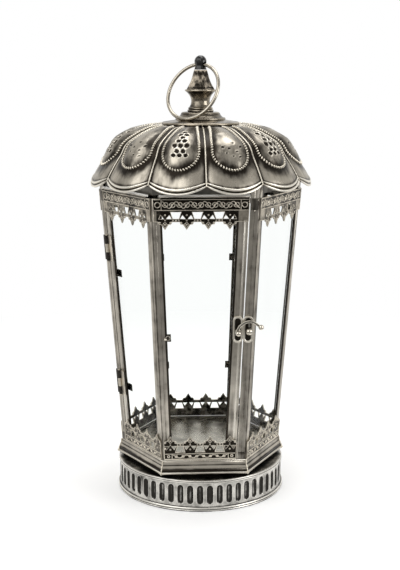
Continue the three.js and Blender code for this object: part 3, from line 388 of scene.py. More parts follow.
# Plinth: a six-sided stepped moulding of folded sheet, mitred at the corners, that carries the
# glazed body on the drum. From its foot: neck, bead, cove, step and a plain top band. A wire of
# solder fills each mitre.
def moulding(profile, sides, start):
    """Spins a closed profile of (radius, level, darkness) into a ring with that many sides."""
    bm = bmesh.new()
    patina_and_shade = bm.verts.layers.float.new("patina_and_shade")
    verts = []
    for radius, level, dirt_and_shade in profile:
        vert = bm.verts.new((radius * mm * cos(start), radius * mm * sin(start), level * mm))
        vert[patina_and_shade] = dirt_and_shade
        verts.append(vert)
    edges = [bm.edges.new((verts[i - 1], verts[i])) for i in range(len(verts))]
    bmesh.ops.spin(
        bm, geom=verts + edges, cent=(0, 0, 0), axis=(0, 0, 1), angle=2 * pi,
        steps=sides, use_merge=True,
    )
    return bm


def arc(centre, radius, start, end, steps, dirt_and_shade):
    """Points of a rounded moulding in a profile, from one angle to another in degrees."""
    points = []
    for i in range(steps + 1):
        turn = radians(start + (end - start) * i / steps)
        shade = dirt_and_shade[0] + (dirt_and_shade[1] - dirt_and_shade[0]) * i / steps
        points.append((centre[0] + radius * cos(turn), centre[1] + radius * sin(turn), shade))
    return points


plinth_foot = 34.6
plinth_top = 52.3
plinth_radius = 93.1
plinth_top_radius = 88.6
plinth_inner = 76
plinth_ledge = 80.5
plinth_sheet = 2.4
neck_top = plinth_foot + 2.7
band_foot = plinth_top - 4.9
# Radius, level and darkness of each point; the darkness holds patina together with painted shade in the neck
# and coves and painted highlight on the bead and the top edge
plinth_profile = [
    (plinth_inner, plinth_foot, 0.6), (plinth_radius - 6, plinth_foot, 0.9),
    (plinth_radius - 6, neck_top - 0.3, 0.9), (plinth_radius - 1.6, neck_top, 0.7),
]
plinth_profile += arc((plinth_radius - 1.3, neck_top + 1.3), 1.3, -80, 70, 6, (0.3, -0.5))
plinth_profile += [
    (plinth_radius - 1.3, neck_top + 2.7, 0.7), (plinth_radius - 1.25, neck_top + 3.1, 0.95),
    (plinth_radius - 1.1, neck_top + 4.1, 0.9), (plinth_radius - 1.5, neck_top + 5.2, 0.75),
    (plinth_radius - 1.9, neck_top + 5.5, 0.8), (plinth_radius - 2.1, neck_top + 6.1, 0.45),
    (plinth_radius - 2.4, neck_top + 7.2, 0.05), (plinth_radius - 2.8, neck_top + 8.4, 0.0),
    (plinth_radius - 3.1, neck_top + 8.9, 0.25), (plinth_top_radius + 1.0, band_foot - 0.4, 0.85),
    (plinth_top_radius + 0.9, band_foot, 0.3), (plinth_top_radius + 0.7, band_foot + 1.6, 0.1),
    (plinth_top_radius + 0.55, band_foot + 3.0, 0.35), (plinth_top_radius + 0.3, band_foot + 3.3, 0.7),
    (plinth_top_radius + 0.3, band_foot + 3.7, 0.1), (plinth_top_radius + 0.1, plinth_top - 0.4, -0.4),
    (plinth_top_radius - 0.5, plinth_top, 0.0), (plinth_ledge, plinth_top, 0.5),
    (plinth_ledge, plinth_top - plinth_sheet, 0.6), (plinth_inner, plinth_top - plinth_sheet, 0.6),
]
pewter_pale = (0.54, 0.5, 0.43)
pewter_dark = (0.022, 0.018, 0.014)
plinth_pewter = metal("plinth_pewter", pewter_pale, pewter_dark, 0.3, (12, 12, 260))
bm = moulding(plinth_profile, 6, 0)
add_piece("plinth_moulding", bm, plinth_pewter, replaces=["plinth"], sharp=50)


def wire(name, lines, radius, material, body="lantern", closed=False, smooth=2):
    """Round wire along lines of points in metres."""
    curve = bpy.data.curves.new(name, "CURVE")
    curve.dimensions = "3D"
    curve.bevel_depth = radius * mm
    curve.bevel_resolution = smooth
    curve.use_fill_caps = not closed
    for line in lines:
        strand = curve.splines.new("POLY")
        strand.points.add(len(line) - 1)
        for point, place in zip(strand.points, line):
            point.co = (*place, 1)
        strand.use_cyclic_u = closed
    curve.materials.append(material)
    piece = bpy.data.objects.new(name, curve)
    bpy.context.scene.collection.objects.link(piece)
    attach(piece, body)
    return piece


bright_pewter = metal(
    "bright_pewter", (0.79, 0.73, 0.62), (0.05, 0.042, 0.033), 0.36, (200, 200, 200), 0.95, 1.6,
)
mitre_wire = 0.7
# The mitre follows the points of the profile that stand outside
mitre_profile = plinth_profile[3:-4]
mitre_lines = [
    [(radius * mm * cos(turn), radius * mm * sin(turn), level * mm) for radius, level, dirt_and_shade in mitre_profile]
    for turn in np.linspace(0, 2 * pi, 7)[:-1]
]
wire("plinth_mitres", mitre_lines, mitre_wire, bright_pewter)


# Floor plate: the plain six-sided sheet that the candle stands on. It is plated steel, darker than
# the outside, and lies on the plinth's ledge.
soft_angle = 25


def finish_node(name, material, soft=0):
    """Gives a node of the frame its material and, if wanted, edges softened by that many mm."""
    node = nodes[name]
    node.data.materials.clear()
    node.data.materials.append(material)
    if soft:
        weld = node.modifiers.new("weld", "WELD")
        weld.merge_threshold = 1e-6
        bevel = node.modifiers.new("soft_edges", "BEVEL")
        bevel.width = soft * mm
        bevel.segments = 2
        bevel.limit_method = "ANGLE"
        bevel.angle_limit = radians(soft_angle)
        bevel.harden_normals = True


floor_steel = metal("floor_steel", (0.4, 0.37, 0.31), (0.05, 0.045, 0.04), 0.24, (30, 30, 30), bump=0.03)
finish_node("floor_plate", floor_steel)


# Posts and stiles: angles and channels folded from brushed strip, with soft folds painted bright
# as wear and highlight, a pressed groove, and insides and a corner fold painted dark as shade.
# The posts are fixed; the three stiles are the upright members of the two-panel door. The bent
# clips inside them hold the glass.
weld_reach = 2e-5
flat_angle = 1


def frame_copy(name):
    """A node's own shape as one merged body of flat faces, ready for finer work."""
    bm = bmesh.new()
    bm.from_mesh(nodes[name].data)
    bmesh.ops.remove_doubles(bm, verts=bm.verts, dist=weld_reach)
    bmesh.ops.dissolve_limit(bm, angle_limit=radians(flat_angle), verts=bm.verts, edges=bm.edges)
    return bm


def soften(bm, width, angle, dirt_and_shade):
    """Bevels the edges sharper than an angle, and gives the new narrow faces a darkness."""
    patina_and_shade = bm.faces.layers.float["patina_and_shade"]
    joined = [edge for edge in bm.edges if len(edge.link_faces) == 2]
    sharp = [edge for edge in joined if edge.calc_face_angle() > radians(angle)]
    made = bmesh.ops.bevel(
        bm, geom=sharp, offset=width * mm, offset_type="OFFSET", affect="EDGES", segments=2,
        profile=0.5, material=-1, clamp_overlap=True,
    )
    for face in made["faces"]:
        face[patina_and_shade] = dirt_and_shade


body_foot = 52.7
body_foot_radius = 87.5
body_head = 350.6
body_flare = 22.82
body_taper = body_flare / (body_head - body_foot)
fold_soft = 0.28
fold_angle = 30
# Folds painted bright, as worn plating and as highlight
fold_wear_and_highlight = -0.45
inside_deep = 0.5
# Insides of the folded strip painted dark as shade
post_inside_shade = 0.5
groove_deep = 0.1
groove_dirt = 0.1
pad_deep = -0.05
pad_dirt = 0.35
# A darker strip along each flange where it meets the glass: its width and darkness
edge_width = 2.2
glass_edge_dark = 1.3
corner_width = 0.9
# Painted shade along the corner fold
corner_fold_shade = 0.3
post_pewter = metal(
    "post_pewter", (0.58, 0.54, 0.47), (0.04, 0.034, 0.027), 0.33, (200, 200, 8), 0.7, 1.55, bump=0.2,
)


def dress_post(name, angle, body, reaches):
    """Softens a folded post or stile. Its corner fold and its insides are painted dark as shade,
    its groove is dark with patina, a strip beside the glass is darker, and its other folds are
    painted bright as wear and highlight; reaches says how far from the corner each flange ends,
    by its side, where glass meets it."""
    bm = frame_copy(name)
    patina_and_shade = bm.faces.layers.float.new("patina_and_shade")
    up = Vector((body_taper * cos(angle), body_taper * sin(angle), 1)).normalized()
    foot = Vector((cos(angle) * body_foot_radius, sin(angle) * body_foot_radius, body_foot))
    flanges = []
    for side in (-1, 1):
        away = Vector((cos(angle + side * 2 * pi / 3), sin(angle + side * 2 * pi / 3), 0))
        out = Vector((cos(angle + side * pi / 6), sin(angle + side * pi / 6), 0))
        flanges.append((side, away, out))
        if side in reaches:
            bmesh.ops.bisect_plane(
                bm, geom=list(bm.verts) + list(bm.edges) + list(bm.faces),
                plane_co=(foot + away * (reaches[side] - edge_width)) * mm, plane_no=up.cross(out),
            )

    def post_place(face):
        """How deep a face lies, on which side of the corner, and how far from it."""
        centre = face.calc_center_median() / mm
        radius = body_foot_radius + body_taper * (centre.z - body_foot)
        offset = centre - Vector((cos(angle) * radius, sin(angle) * radius, centre.z))
        return min((-offset.dot(out), side, offset.dot(away)) for side, away, out in flanges)

    for face in bm.faces:
        deep = post_place(face)[0]
        if deep > inside_deep:
            face[patina_and_shade] = post_inside_shade
        elif deep > groove_deep:
            face[patina_and_shade] = groove_dirt
        elif deep < pad_deep:
            face[patina_and_shade] = pad_dirt
    soften(bm, fold_soft, fold_angle, fold_wear_and_highlight)
    for face in bm.faces:
        side, far = post_place(face)[1:3]
        if side in reaches and far > reaches[side] - edge_width:
            face[patina_and_shade] = glass_edge_dark
        elif far < corner_width:
            face[patina_and_shade] = corner_fold_shade
    add_piece(name + "_fold", bm, post_pewter, body, [name])


flange = 9
# Angle of each post round the lantern, and the sides on which it meets glass
posts = {
    "hinge": (180, [-1]), "latch": (300, [1]), "right": (0, [-1, 1]), "back_right": (60, [-1, 1]),
    "back_left": (120, [-1, 1]),
}
for place, (angle, sides) in posts.items():
    dress_post(place + "_post", radians(angle), "lantern", {side: flange for side in sides})
# Angle of each stile, and how far its flange reaches on the side where it meets glass
stiles = {"hinge": (180, {1: 20}), "corner": (240, {1: 10}), "latch": (300, {-1: 22})}
for place, (angle, reaches) in stiles.items():
    dress_post("door_" + place + "_stile", radians(angle), "door", reaches)


# Friezes: pierced and embossed strips with a cresting of pendants, one at the head and one at
# the foot of each face, screwed to the posts. A running scroll of wire relief fills the band
# between its raised rims, and small bosses stand on the pendants.
def face_matrix(angle):
    """Frame of a body face: x runs right, y up its slope and z out of it, in mm from its foot."""
    lean = atan(body_taper * cos(pi / 6))
    out_flat = Vector((cos(angle), sin(angle), 0))
    right = Vector((-out_flat.y, out_flat.x, 0))
    up = out_flat * sin(lean) + Vector((0, 0, cos(lean)))
    out = right.cross(up)
    turn = Matrix((right, up, out)).transposed().to_4x4()
    origin = out_flat * body_foot_radius * cos(pi / 6) + Vector((0, 0, body_foot))
    return Matrix.Scale(mm, 4) @ Matrix.Translation(origin) @ turn


def slope(level):
    """How far up a face's slope a level lies."""
    return (level - body_foot) / cos(atan(body_taper * cos(pi / 6)))


def half_face(level):
    """Half the width of a face at a level."""
    return (body_foot_radius + body_taper * (level - body_foot)) / 2


plate_face = 1.5
band_dirt = 0.88
pendant_dirt = 0.68
tab_dirt = 0.1
back_dirt = 0.5
# Share of the patina kept on every face but the front, which paints them lighter, as more lit
side_lit_tone = 0.6
boss_dirt = -0.2
boss_height = 0.8
rim_wire = 0.42
crest_count = 4
tab_from = 8.6
# Bosses on one pendant and on the tie beside it: across, away from the band, and radius
pendant_bosses = [
    (0, 14.2, 1.1), (5.6, 12.3, 1.3), (-5.6, 12.3, 1.3), (0, 9.7, 0.9), (0, 4.4, 1.1), (0, 18.2, 0.8),
]
tie_bosses = [(-2.9, 9.7, 0.85), (0, 9.9, 1.1), (2.9, 9.7, 0.85)]
# Lozenge round the boss of a pendant: across, and away from the band
lozenge = [(0, 17.2), (2.5, 14.2), (0, 11.3), (-2.5, 14.2)]
scroll_wire = 0.5
scroll_length = 7.4
scroll_margin = 1.4
scroll_sink = 0.1
stem_steps = 6
stem_wave = 0.75
curl_steps = 14
curl_turns = 1.35
curl_start = 0.72
curl_close = 0.5
curl_shift = 0.1
rosette_size = 0.6
rosette_steps = 12
panel_width = 8
rail_in = 0.6
rail_edge = 0.55
bar_edge = 0.5
rosette_shift = 0.3
scroll_gap = 0.8
# A face whose normal leans this much along the way out counts as facing that way
facing = 0.9
frieze_pewter = metal(
    "frieze_pewter", (0.5, 0.455, 0.38), (0.02, 0.017, 0.013), 0.36, (200, 200, 200), 0.85, 1.7,
)


def scroll(left, right, middle, reach):
    """A running scroll along a band: a waved stem with a curl in every hollow."""
    count = max(2, round((right - left) / scroll_length))
    step = (right - left) / count
    stem = []
    lines = [stem]
    for i in range(count * stem_steps + 1):
        across = i / stem_steps
        stem.append((left + across * step, middle + reach * stem_wave * cos(across * pi)))
    for i in range(count):
        side = 1 if i % 2 else -1
        curl = []
        for k in range(curl_steps + 1):
            turn = k / curl_steps * curl_turns * 2 * pi
            size = reach * (curl_start - curl_close * k / curl_steps)
            drop = side * (curl_shift * reach - size * sin(turn))
            curl.append((left + (i + 0.5) * step - size * cos(turn), middle - drop))
        lines.append(curl)
    return lines


def face_rims(faces):
    """The closed lines of points round a set of faces, holes included."""
    inside = set(faces)
    edges = {
        edge for face in faces for edge in face.edges
        if sum(other in inside for other in edge.link_faces) == 1
    }
    lines = []
    while edges:
        edge = min(edges, key=lambda edge: edge.index)
        edges.remove(edge)
        first, last = edge.verts
        line = [first.co.copy()]
        while last != first:
            line.append(last.co.copy())
            following = [other for other in last.link_edges if other in edges]
            if not following:
                break
            edges.remove(following[0])
            last = following[0].other_vert(last)
        lines.append(line)
    return lines


def dress_frieze(name, label, angle, body, band_from, band_to, direction, pitch, shift, left, right, lit_tone):
    """Darkens a frieze's band, pendants and end tabs, puts bosses on it, and lays wire round its
    edges and along its band, from left to right. Its pendants rise where direction is 1 and hang
    where it is -1, pitch apart and shifted along the face; the tone given thins the patina on the
    band and pendants, and below 1 it paints the face lighter, as more lit."""
    place = face_matrix(angle)
    flat = place.inverted()
    bm = frame_copy(name)
    patina_and_shade = bm.faces.layers.float.new("patina_and_shade")
    crest = slope(band_from) if direction < 0 else slope(band_to)
    last = (crest_count - 1) / 2 * pitch + tab_from
    cuts = [((shift - last, 0), (1, 0)), ((shift + last, 0), (1, 0)), ((0, crest), (0, 1))]
    for spot, way in cuts:
        bmesh.ops.bisect_plane(
            bm, geom=list(bm.verts) + list(bm.edges) + list(bm.faces),
            plane_co=place @ Vector((*spot, 0)), plane_no=place.to_3x3() @ Vector((*way, 0)),
        )
    out = place.to_3x3() @ Vector((0, 0, 1 / mm))
    front = [face for face in bm.faces if face.normal.dot(out) > facing]
    for face in front:
        spot = flat @ face.calc_center_median()
        if direction * (spot.y - crest) < 0:
            face[patina_and_shade] = band_dirt * lit_tone
        elif abs(spot.x - shift) > last:
            face[patina_and_shade] = tab_dirt
        else:
            face[patina_and_shade] = pendant_dirt * lit_tone
    for face in bm.faces:
        if face.normal.dot(out) < -facing:
            face[patina_and_shade] = back_dirt
    bm.edges.index_update()
    rims = face_rims(front)
    for i in range(crest_count):
        middle = shift + (i - (crest_count - 1) / 2) * pitch
        bosses = list(pendant_bosses)
        if i < crest_count - 1:
            bosses += [(pitch / 2 + across, away, radius) for across, away, radius in tie_bosses]
        for across, away, radius in bosses:
            spot = Matrix.Translation((middle + across, crest + direction * away, plate_face))
            size = Matrix.Diagonal((radius, radius, boss_height, 1))
            made = bmesh.ops.create_uvsphere(
                bm, u_segments=10, v_segments=6, radius=1, matrix=place @ spot @ size,
            )
            for face in {face for vert in made["verts"] for face in vert.link_faces}:
                face[patina_and_shade] = boss_dirt
        rims.append([place @ Vector((middle + x, crest + direction * y, plate_face)) for x, y in lozenge])
    add_piece(label + "_plate", bm, frieze_pewter, body, [name], sharp=35)
    wire(label + "_rims", rims, rim_wire, bright_pewter, body, closed=True, smooth=1)

    low, high = slope(band_from), slope(band_to)
    middle = (low + high) / 2
    reach = (high - low) / 2 - scroll_margin
    rails = (low + rail_edge, high - rail_edge)
    bars = (left + panel_width, right - panel_width)
    lines = [[(left + rail_in, level), (right - rail_in, level)] for level in rails]
    lines += [[(across, low + bar_edge), (across, high - bar_edge)] for across in bars]
    for end in (left + panel_width / 2 + rosette_shift, right - panel_width / 2 - rosette_shift):
        lines.append([
            (end + reach * rosette_size * cos(turn), middle + reach * rosette_size * sin(turn))
            for turn in np.linspace(0, 2 * pi, rosette_steps + 1)
        ])
    lines += scroll(bars[0] + scroll_gap, bars[1] - scroll_gap, middle, reach)
    placed = [[place @ Vector((x, y, plate_face - scroll_sink)) for x, y in line] for line in lines]
    wire(label + "_scroll", placed, scroll_wire, bright_pewter, body, smooth=1)


band_inset = 1.5
door_edge = 10.3
top_band = (321.6, 333.6)
foot_band_head = 60.4
door_foot = 53.5
top_pitch = 21.8
foot_pitch = 21
# How far the front's pendants stand off its middle, at the head and at the foot
front_shifts = (-8, -4.6)
face_angles = {
    "front": 270, "front_right": 330, "back_right": 30, "back": 90, "back_left": 150, "front_left": 210,
}
for place, angle in face_angles.items():
    door = place in ("front", "front_left")
    owner = "door_" if door else ""
    body = "door" if door else "lantern"
    left_inset = door_edge if place == "front_left" else band_inset
    right_inset = door_edge if place == "front" else band_inset
    middle = (left_inset - right_inset) / 2
    shifts = front_shifts if place == "front" else (middle, middle)
    foot_from = door_foot if door else body_foot
    # The front's friezes keep their full darkness; the others are painted lighter, as more lit
    lit_tone = 1 if place == "front" else side_lit_tone
    half = half_face(top_band[0])
    dress_frieze(
        owner + "top_frieze_" + place, "top_frieze_" + place + "_band", radians(angle), body,
        *top_band, -1, top_pitch, shifts[0], left_inset - half, half - right_inset, lit_tone,
    )
    half = half_face(foot_from)
    dress_frieze(
        owner + "foot_frieze_" + place, "foot_frieze_" + place + "_band", radians(angle), body,
        foot_from, foot_band_head, 1, foot_pitch, shifts[1], left_inset - half, half - right_inset, lit_tone,
    )


# Glass: clear float glass, 2 mm thick, one pane to a face. It stands behind the posts and stiles,
# whose bent clips hold it.
clear_glass, tree = shader_tree("clear_glass")
surface = add_node(tree, "BsdfPrincipled", {
    "Base Color": (0.985, 0.995, 0.99, 1), "Roughness": 0.02, "Transmission Weight": 1, "IOR": 1.08,
})
add_node(tree, "OutputMaterial", {"Surface": surface.outputs["BSDF"]})
for name in nodes:
    if "glass" in name:
        finish_node(name, clear_glass)


# Roof: twelve petals pressed from sheet, soldered along their seams. Every second petal has a
# dimpled teardrop, the others a smooth one with a few freckles; each ends in a scalloped roll.
petal_count = 12
petal_thickness = 1.4
# Radius and level of the seam between two petals, from the crown to the eaves
seam_points = [
    (38, 400.9), (60.2, 399.5), (87.8, 386.4), (97.1, 373.7),
    (106.4, 360.6), (114.3, 346.8), (115.5, 338.8),
]
roof_foot = seam_points[-1][1]
scallop_rise = 8
crown_top = 0.7
crown_foot = 3
crown_power = 2.4
seam_gap = 0.3
slope_reach = 0.01
boss_head = 0.13
boss_widest = 0.6
boss_foot = 0.775
boss_width = 0.74
boss_head_width = 0.55
boss_head_fade = 0.22
boss_fade_power = 1.5
boss_rise = 3.6
cushion_reach = 15
cushion_power = 2.2
# Patina and painted shade beside the rope: how dark, how much of it clears away from the rope, and over how
# far
inside_shade = (0.78, 0.62, 10)
outside_shade = (0.95, 0.8, 12)
dimple_pitch = 6
dimple_row = 0.87 * dimple_pitch
dimple_from = 27
dimple_radius = 2.7
dimple_depth = 1.6
# Patina and painted shade in the dimples, and how fully it fills each pit
dimple_shade = 0.85
pit_shade_fill = 1.8
dimple_margin = 9.3
freckle_radius = 1.25
freckle_margin = 3
pit_foot_margin = 0.05
pit_lip_place = 1.08
pit_lip_spread = 0.42
pit_lip_height = 0.3
# Rims of the dimples painted bright, as wear and highlight
pit_lip_wear_and_highlight = 0.6
eaves_roll = 5.8
# The eaves' roll and bead painted bright, as wear and highlight
eaves_wear_and_highlight = 0.95
roll_radius = 1.1
eaves_bead = 4.7
eaves_bead_half = 1.05
eaves_bead_rise = 1.0
cove_place = 2.9
cove_spread = 0.7
cove_depth = 0.5
# Painted shade beside the bead, with patina in the cove, and beside the seams: darkness, place up from the
# eaves or out from the seam, and spread
cove_shade = (0.8, 2.95, 0.6)
step_shade = (0.45, 6.4, 1.0)
seam_shade = (0.95, 0, 2.5)


def spline(points, steps):
    """A smooth line through points: its x, its z, its share of length at each, and its length."""
    line = []
    count = len(points) - 1
    for i in range(count * steps + 1):
        k = min(i // steps, count - 1)
        t = i / steps - k
        before, start = np.array(points[max(0, k - 1)]), np.array(points[k])
        end, after = np.array(points[k + 1]), np.array(points[min(count, k + 2)])
        leave, arrive = (end - before) * 0.5, (after - start) * 0.5
        cubic = 2 * start - 2 * end + leave + arrive
        square = 3 * end - 3 * start - 2 * leave - arrive
        line.append(cubic * t ** 3 + square * t * t + leave * t + start)
    line = np.array(line)
    steps_long = np.hypot(*np.diff(line, axis=0).T)
    length = np.concatenate([[0], np.cumsum(steps_long)])
    return line[:, 0], line[:, 1], length / length[-1], length[-1]


seam_x, seam_z, seam_share, seam_length = spline(seam_points, 60)


def seam_place(t):
    """Radius, level and outward normal of the roof's seam line at shares of its length."""
    x = np.interp(t, seam_share, seam_x)
    z = np.interp(t, seam_share, seam_z)
    ahead, behind = np.minimum(t + slope_reach, 1), np.maximum(t - slope_reach, 0)
    dx = np.interp(ahead, seam_share, seam_x) - np.interp(behind, seam_share, seam_x)
    dz = np.interp(ahead, seam_share, seam_z) - np.interp(behind, seam_share, seam_z)
    long = np.hypot(dx, dz)
    return x, z, -dz / long, dx / long


def petal_place(share, across, lift):
    """Places on a petal centred on +X, in mm, lifted off its plain crowned surface."""
    level = roof_foot + scallop_rise * across ** 2
    falling = seam_share[seam_share > 0.5], seam_z[seam_share > 0.5]
    foot_share = np.interp(-level, -falling[1], falling[0])
    t = share * foot_share
    x, z, nx, nz = seam_place(t)
    off = lift + (crown_top + (crown_foot - crown_top) * t) * (1 - np.abs(across) ** crown_power)
    radius = x + nx * off
    half = pi / petal_count
    clear = across * seam_gap / 2
    return np.stack([
        radius * np.cos(across * half) + clear * sin(half),
        radius * np.sin(across * half) - clear * cos(half),
        z + nz * off,
    ], -1)


def boss_outline(steps):
    """The teardrop's rope line as (share down, place across), from its head round its foot."""
    upper = []
    for i in range(steps):
        k = i / steps
        share = boss_head + (boss_widest - boss_head) * k
        upper.append((share, boss_head_width + (boss_width - boss_head_width) * sin(k * pi / 2)))
    lower = [
        (boss_widest + (boss_foot - boss_widest) * sin(turn), boss_width * cos(turn))
        for turn in np.linspace(0, pi / 2, steps)
    ]
    side = upper + lower
    return np.array(side + [(share, -across) for share, across in reversed(side[:-1])])


def flat_place(share, across):
    """The petal's surface laid flat: mm across and mm down."""
    radius = seam_place(share)[0]
    return np.stack([across * radius * sin(pi / petal_count), share * seam_length], -1)


rope_line = boss_outline(60)
rope_flat = flat_place(rope_line[:, 0], rope_line[:, 1])
# Places on a petal laid flat, in mm across and down; those off the teardrop are left out later
dimple_spots = [
    ((j + 0.5 * (i % 2)) * dimple_pitch, dimple_from + i * dimple_row)
    for i in range(2, 9) for j in range(-4, 5)
]
freckle_spots = [(-5, 66), (1, 70), (5.5, 64), (8, 71), (-2, 61), (3, 56), (-8, 60), (10, 60)]


def half_round(distance, middle, half):
    return np.sqrt(np.clip(1 - ((distance - middle) / half) ** 2, 0, 1))


def bell(distance, middle, spread):
    return np.exp(-((distance - middle) / spread) ** 2)


def rope_shade(distance, shade):
    """Patina and painted shade at a distance from the rope."""
    dirt_and_shade, cleared, reach = shade
    return dirt_and_shade - cleared * np.clip(distance / reach, 0, 1)


def line_shade(distance, shade):
    """Painted shade at a distance from the line where it is darkest; in the eaves' cove it also stands for
    patina.
    """
    dirt_and_shade, middle, spread = shade
    return dirt_and_shade * bell(distance, middle, spread)


def petal_relief(share, across, dimpled):
    """Lift off the plain surface and darkness, at arrays of places on a petal; the darkness holds
    patina, painted shade and painted highlight.
    """
    flat = flat_place(share, across)
    gaps = np.hypot(*(flat[:, None, :] - rope_flat[None, :, :]).transpose(2, 0, 1))
    distance = gaps.min(axis=1)
    k = np.clip((share - boss_head) / (boss_widest - boss_head), 0, 1)
    half = boss_head_width + (boss_width - boss_head_width) * np.sin(k * pi / 2)
    fall = np.clip((share - boss_widest) / (boss_foot - boss_widest), 0, 1)
    half = np.where(share > boss_widest, boss_width * np.sqrt(1 - fall ** 2), half)
    inside = (np.abs(across) < half) & (share < boss_foot)
    fade = np.clip(share / (boss_head + boss_head_fade), 0, 1) ** boss_fade_power
    swell = 1 - (1 - np.clip(distance / cushion_reach, 0, 1)) ** cushion_power
    lift = np.where(inside, boss_rise * swell, 0) * fade
    dirt_and_shade = np.where(inside, rope_shade(distance, inside_shade), rope_shade(distance, outside_shade))
    spots = dimple_spots if dimpled else freckle_spots
    size = dimple_radius if dimpled else freckle_radius
    margin = dimple_margin if dimpled else freckle_margin
    depth = dimple_depth * (size / dimple_radius)
    for spot in spots:
        rope_gap = np.hypot(rope_flat[:, 0] - spot[0], rope_flat[:, 1] - spot[1]).min()
        spot_share = spot[1] / seam_length
        if rope_gap < margin or spot_share > boss_foot - pit_foot_margin or spot_share < boss_head:
            continue
        reach = np.hypot(flat[:, 0] - spot[0], flat[:, 1] - spot[1])
        bowl = np.clip(1 - (reach / size) ** 2, 0, 1)
        lip = bell(reach, size * pit_lip_place, pit_lip_spread)
        lift -= np.where(inside, depth * bowl - pit_lip_height * lip, 0)
        dirt_and_shade += np.where(inside, dimple_shade * np.minimum(1, pit_shade_fill * bowl) - pit_lip_wear_and_highlight * lip, 0)
    edge = (1 - share) * seam_length
    roll = half_round(edge, roll_radius, roll_radius) * roll_radius
    bead = half_round(edge, eaves_bead, eaves_bead_half) * eaves_bead_rise
    cove = -cove_depth * bell(edge, cove_place, cove_spread)
    lift += np.where(edge < eaves_roll, roll + bead + cove, 0)
    dirt_and_shade += line_shade(edge, cove_shade) + line_shade(edge, step_shade)
    dirt_and_shade -= eaves_wear_and_highlight * (bead + roll)
    side = (1 - np.abs(across)) * seam_place(share)[0] * sin(pi / petal_count)
    dirt_and_shade += line_shade(side, seam_shade)
    return lift, dirt_and_shade


roof_pewter = metal(
    "roof_pewter", (0.48, 0.44, 0.37), pewter_dark, 0.29, (150, 45, 1), grain_place="grain", bump=0.06,
)
dimpled_columns = 60
smooth_columns = 40
plain_rows = 112
eaves_rows = 21
grain_width = 0.028
grain_jump = 0.37
eaves_share = 1 - eaves_roll / seam_length
petal_rows = list(np.linspace(0, eaves_share, plain_rows))
petal_rows += list(np.linspace(eaves_share, 1, eaves_rows))[1:]


def petal(index, dimpled):
    """Presses one petal from a grid, turns it to its place and gives it the sheet's thickness."""
    columns = dimpled_columns if dimpled else smooth_columns
    bm = bmesh.new()
    bmesh.ops.create_grid(bm, x_segments=columns, y_segments=len(petal_rows) - 1, size=0.5)
    patina_and_shade = bm.verts.layers.float.new("patina_and_shade")
    grain = bm.verts.layers.float_vector.new("grain")
    places = np.array([tuple(vert.co) for vert in bm.verts])
    across = places[:, 0] * 2
    share = np.array(petal_rows)[np.rint((0.5 - places[:, 1]) * (len(petal_rows) - 1)).astype(int)]
    lift, dirt_and_shade = petal_relief(share, across, dimpled)
    points = petal_place(share, across, lift) * mm
    turn = Matrix.Rotation(radians(270 + (index + 0.5) * 360 / petal_count), 3, "Z")
    for i, vert in enumerate(bm.verts):
        vert.co = turn @ Vector(points[i])
        vert[patina_and_shade] = dirt_and_shade[i]
        vert[grain] = (across[i] * grain_width, share[i] * seam_length * mm, index * grain_jump)
    bmesh.ops.recalc_face_normals(bm, faces=bm.faces)
    if sum(face.normal.z for face in bm.faces) < 0:
        bmesh.ops.reverse_faces(bm, faces=bm.faces)
    bmesh.ops.solidify(bm, geom=list(bm.faces), thickness=petal_thickness * mm)
    name = "petal_" + str(index + 1).zfill(2)
    add_piece(name, bm, roof_pewter, replaces=["roof_" + name], sharp=60)


for index in range(petal_count):
    petal(index, index % 2 == 1)


# Ropes and seam ribs: a twisted wire round each teardrop and a plain wire over each seam, both
# soldered on. The rope is a row of slanting beads.
rope_pitch = 2.7
rope_bead = 1.65
rope_lift = 0.35
rope_slant = 0.55
rope_end_gap = 0.5
rope_ahead = 0.4
# Half sizes of a bead along its twist, across it and outwards, as shares of rope_bead
bead_shape = (0.62, 1.12, 1)
rope_length = np.concatenate([[0], np.cumsum(np.hypot(*np.diff(rope_flat, axis=0).T))])
bead_count = int(rope_length[-1] / rope_pitch)
bead_spots = np.linspace(0, rope_length[-1] - rope_end_gap, bead_count)


def rope_place(spots, lift):
    """Places in metres on a petal centred on +X, at lengths along its rope line."""
    share = np.interp(spots, rope_length, rope_line[:, 0])
    across = np.interp(spots, rope_length, rope_line[:, 1])
    return petal_place(share, across, np.full(len(spots), lift)) * mm


bead_places = rope_place(bead_spots, rope_lift)
bead_ahead = rope_place(bead_spots + rope_ahead, rope_lift)
bead_above = rope_place(bead_spots, rope_lift + 1)
first_petal = Matrix.Rotation(radians(270 + 180 / petal_count), 4, "Z")
bead_size = Matrix.Diagonal((*(share * rope_bead * mm for share in bead_shape), 1))
bm = bmesh.new()
for spot, ahead, above in zip(bead_places, bead_ahead, bead_above):
    out = (Vector(above) - Vector(spot)).normalized()
    along = (Vector(ahead) - Vector(spot)).normalized()
    side = out.cross(along).normalized()
    twist = (along + side * rope_slant).normalized()
    cross = out.cross(twist).normalized()
    basis = Matrix((twist, cross, out)).transposed().to_4x4()
    placed = first_petal @ Matrix.Translation(spot) @ basis @ bead_size
    bmesh.ops.create_uvsphere(bm, u_segments=8, v_segments=5, radius=1, matrix=placed)
bmesh.ops.spin(
    bm, geom=list(bm.verts) + list(bm.edges) + list(bm.faces), cent=(0, 0, 0), axis=(0, 0, 1),
    angle=2 * pi * (petal_count - 1) / petal_count, steps=petal_count - 1, use_duplicate=True,
)
rope_pewter = metal(
    "rope_pewter", (0.74, 0.69, 0.59), (0.06, 0.05, 0.04), 0.36, (150, 150, 150), 1.0, bump=0.05,
)
add_piece("roof_ropes", bm, rope_pewter, sharp=80)

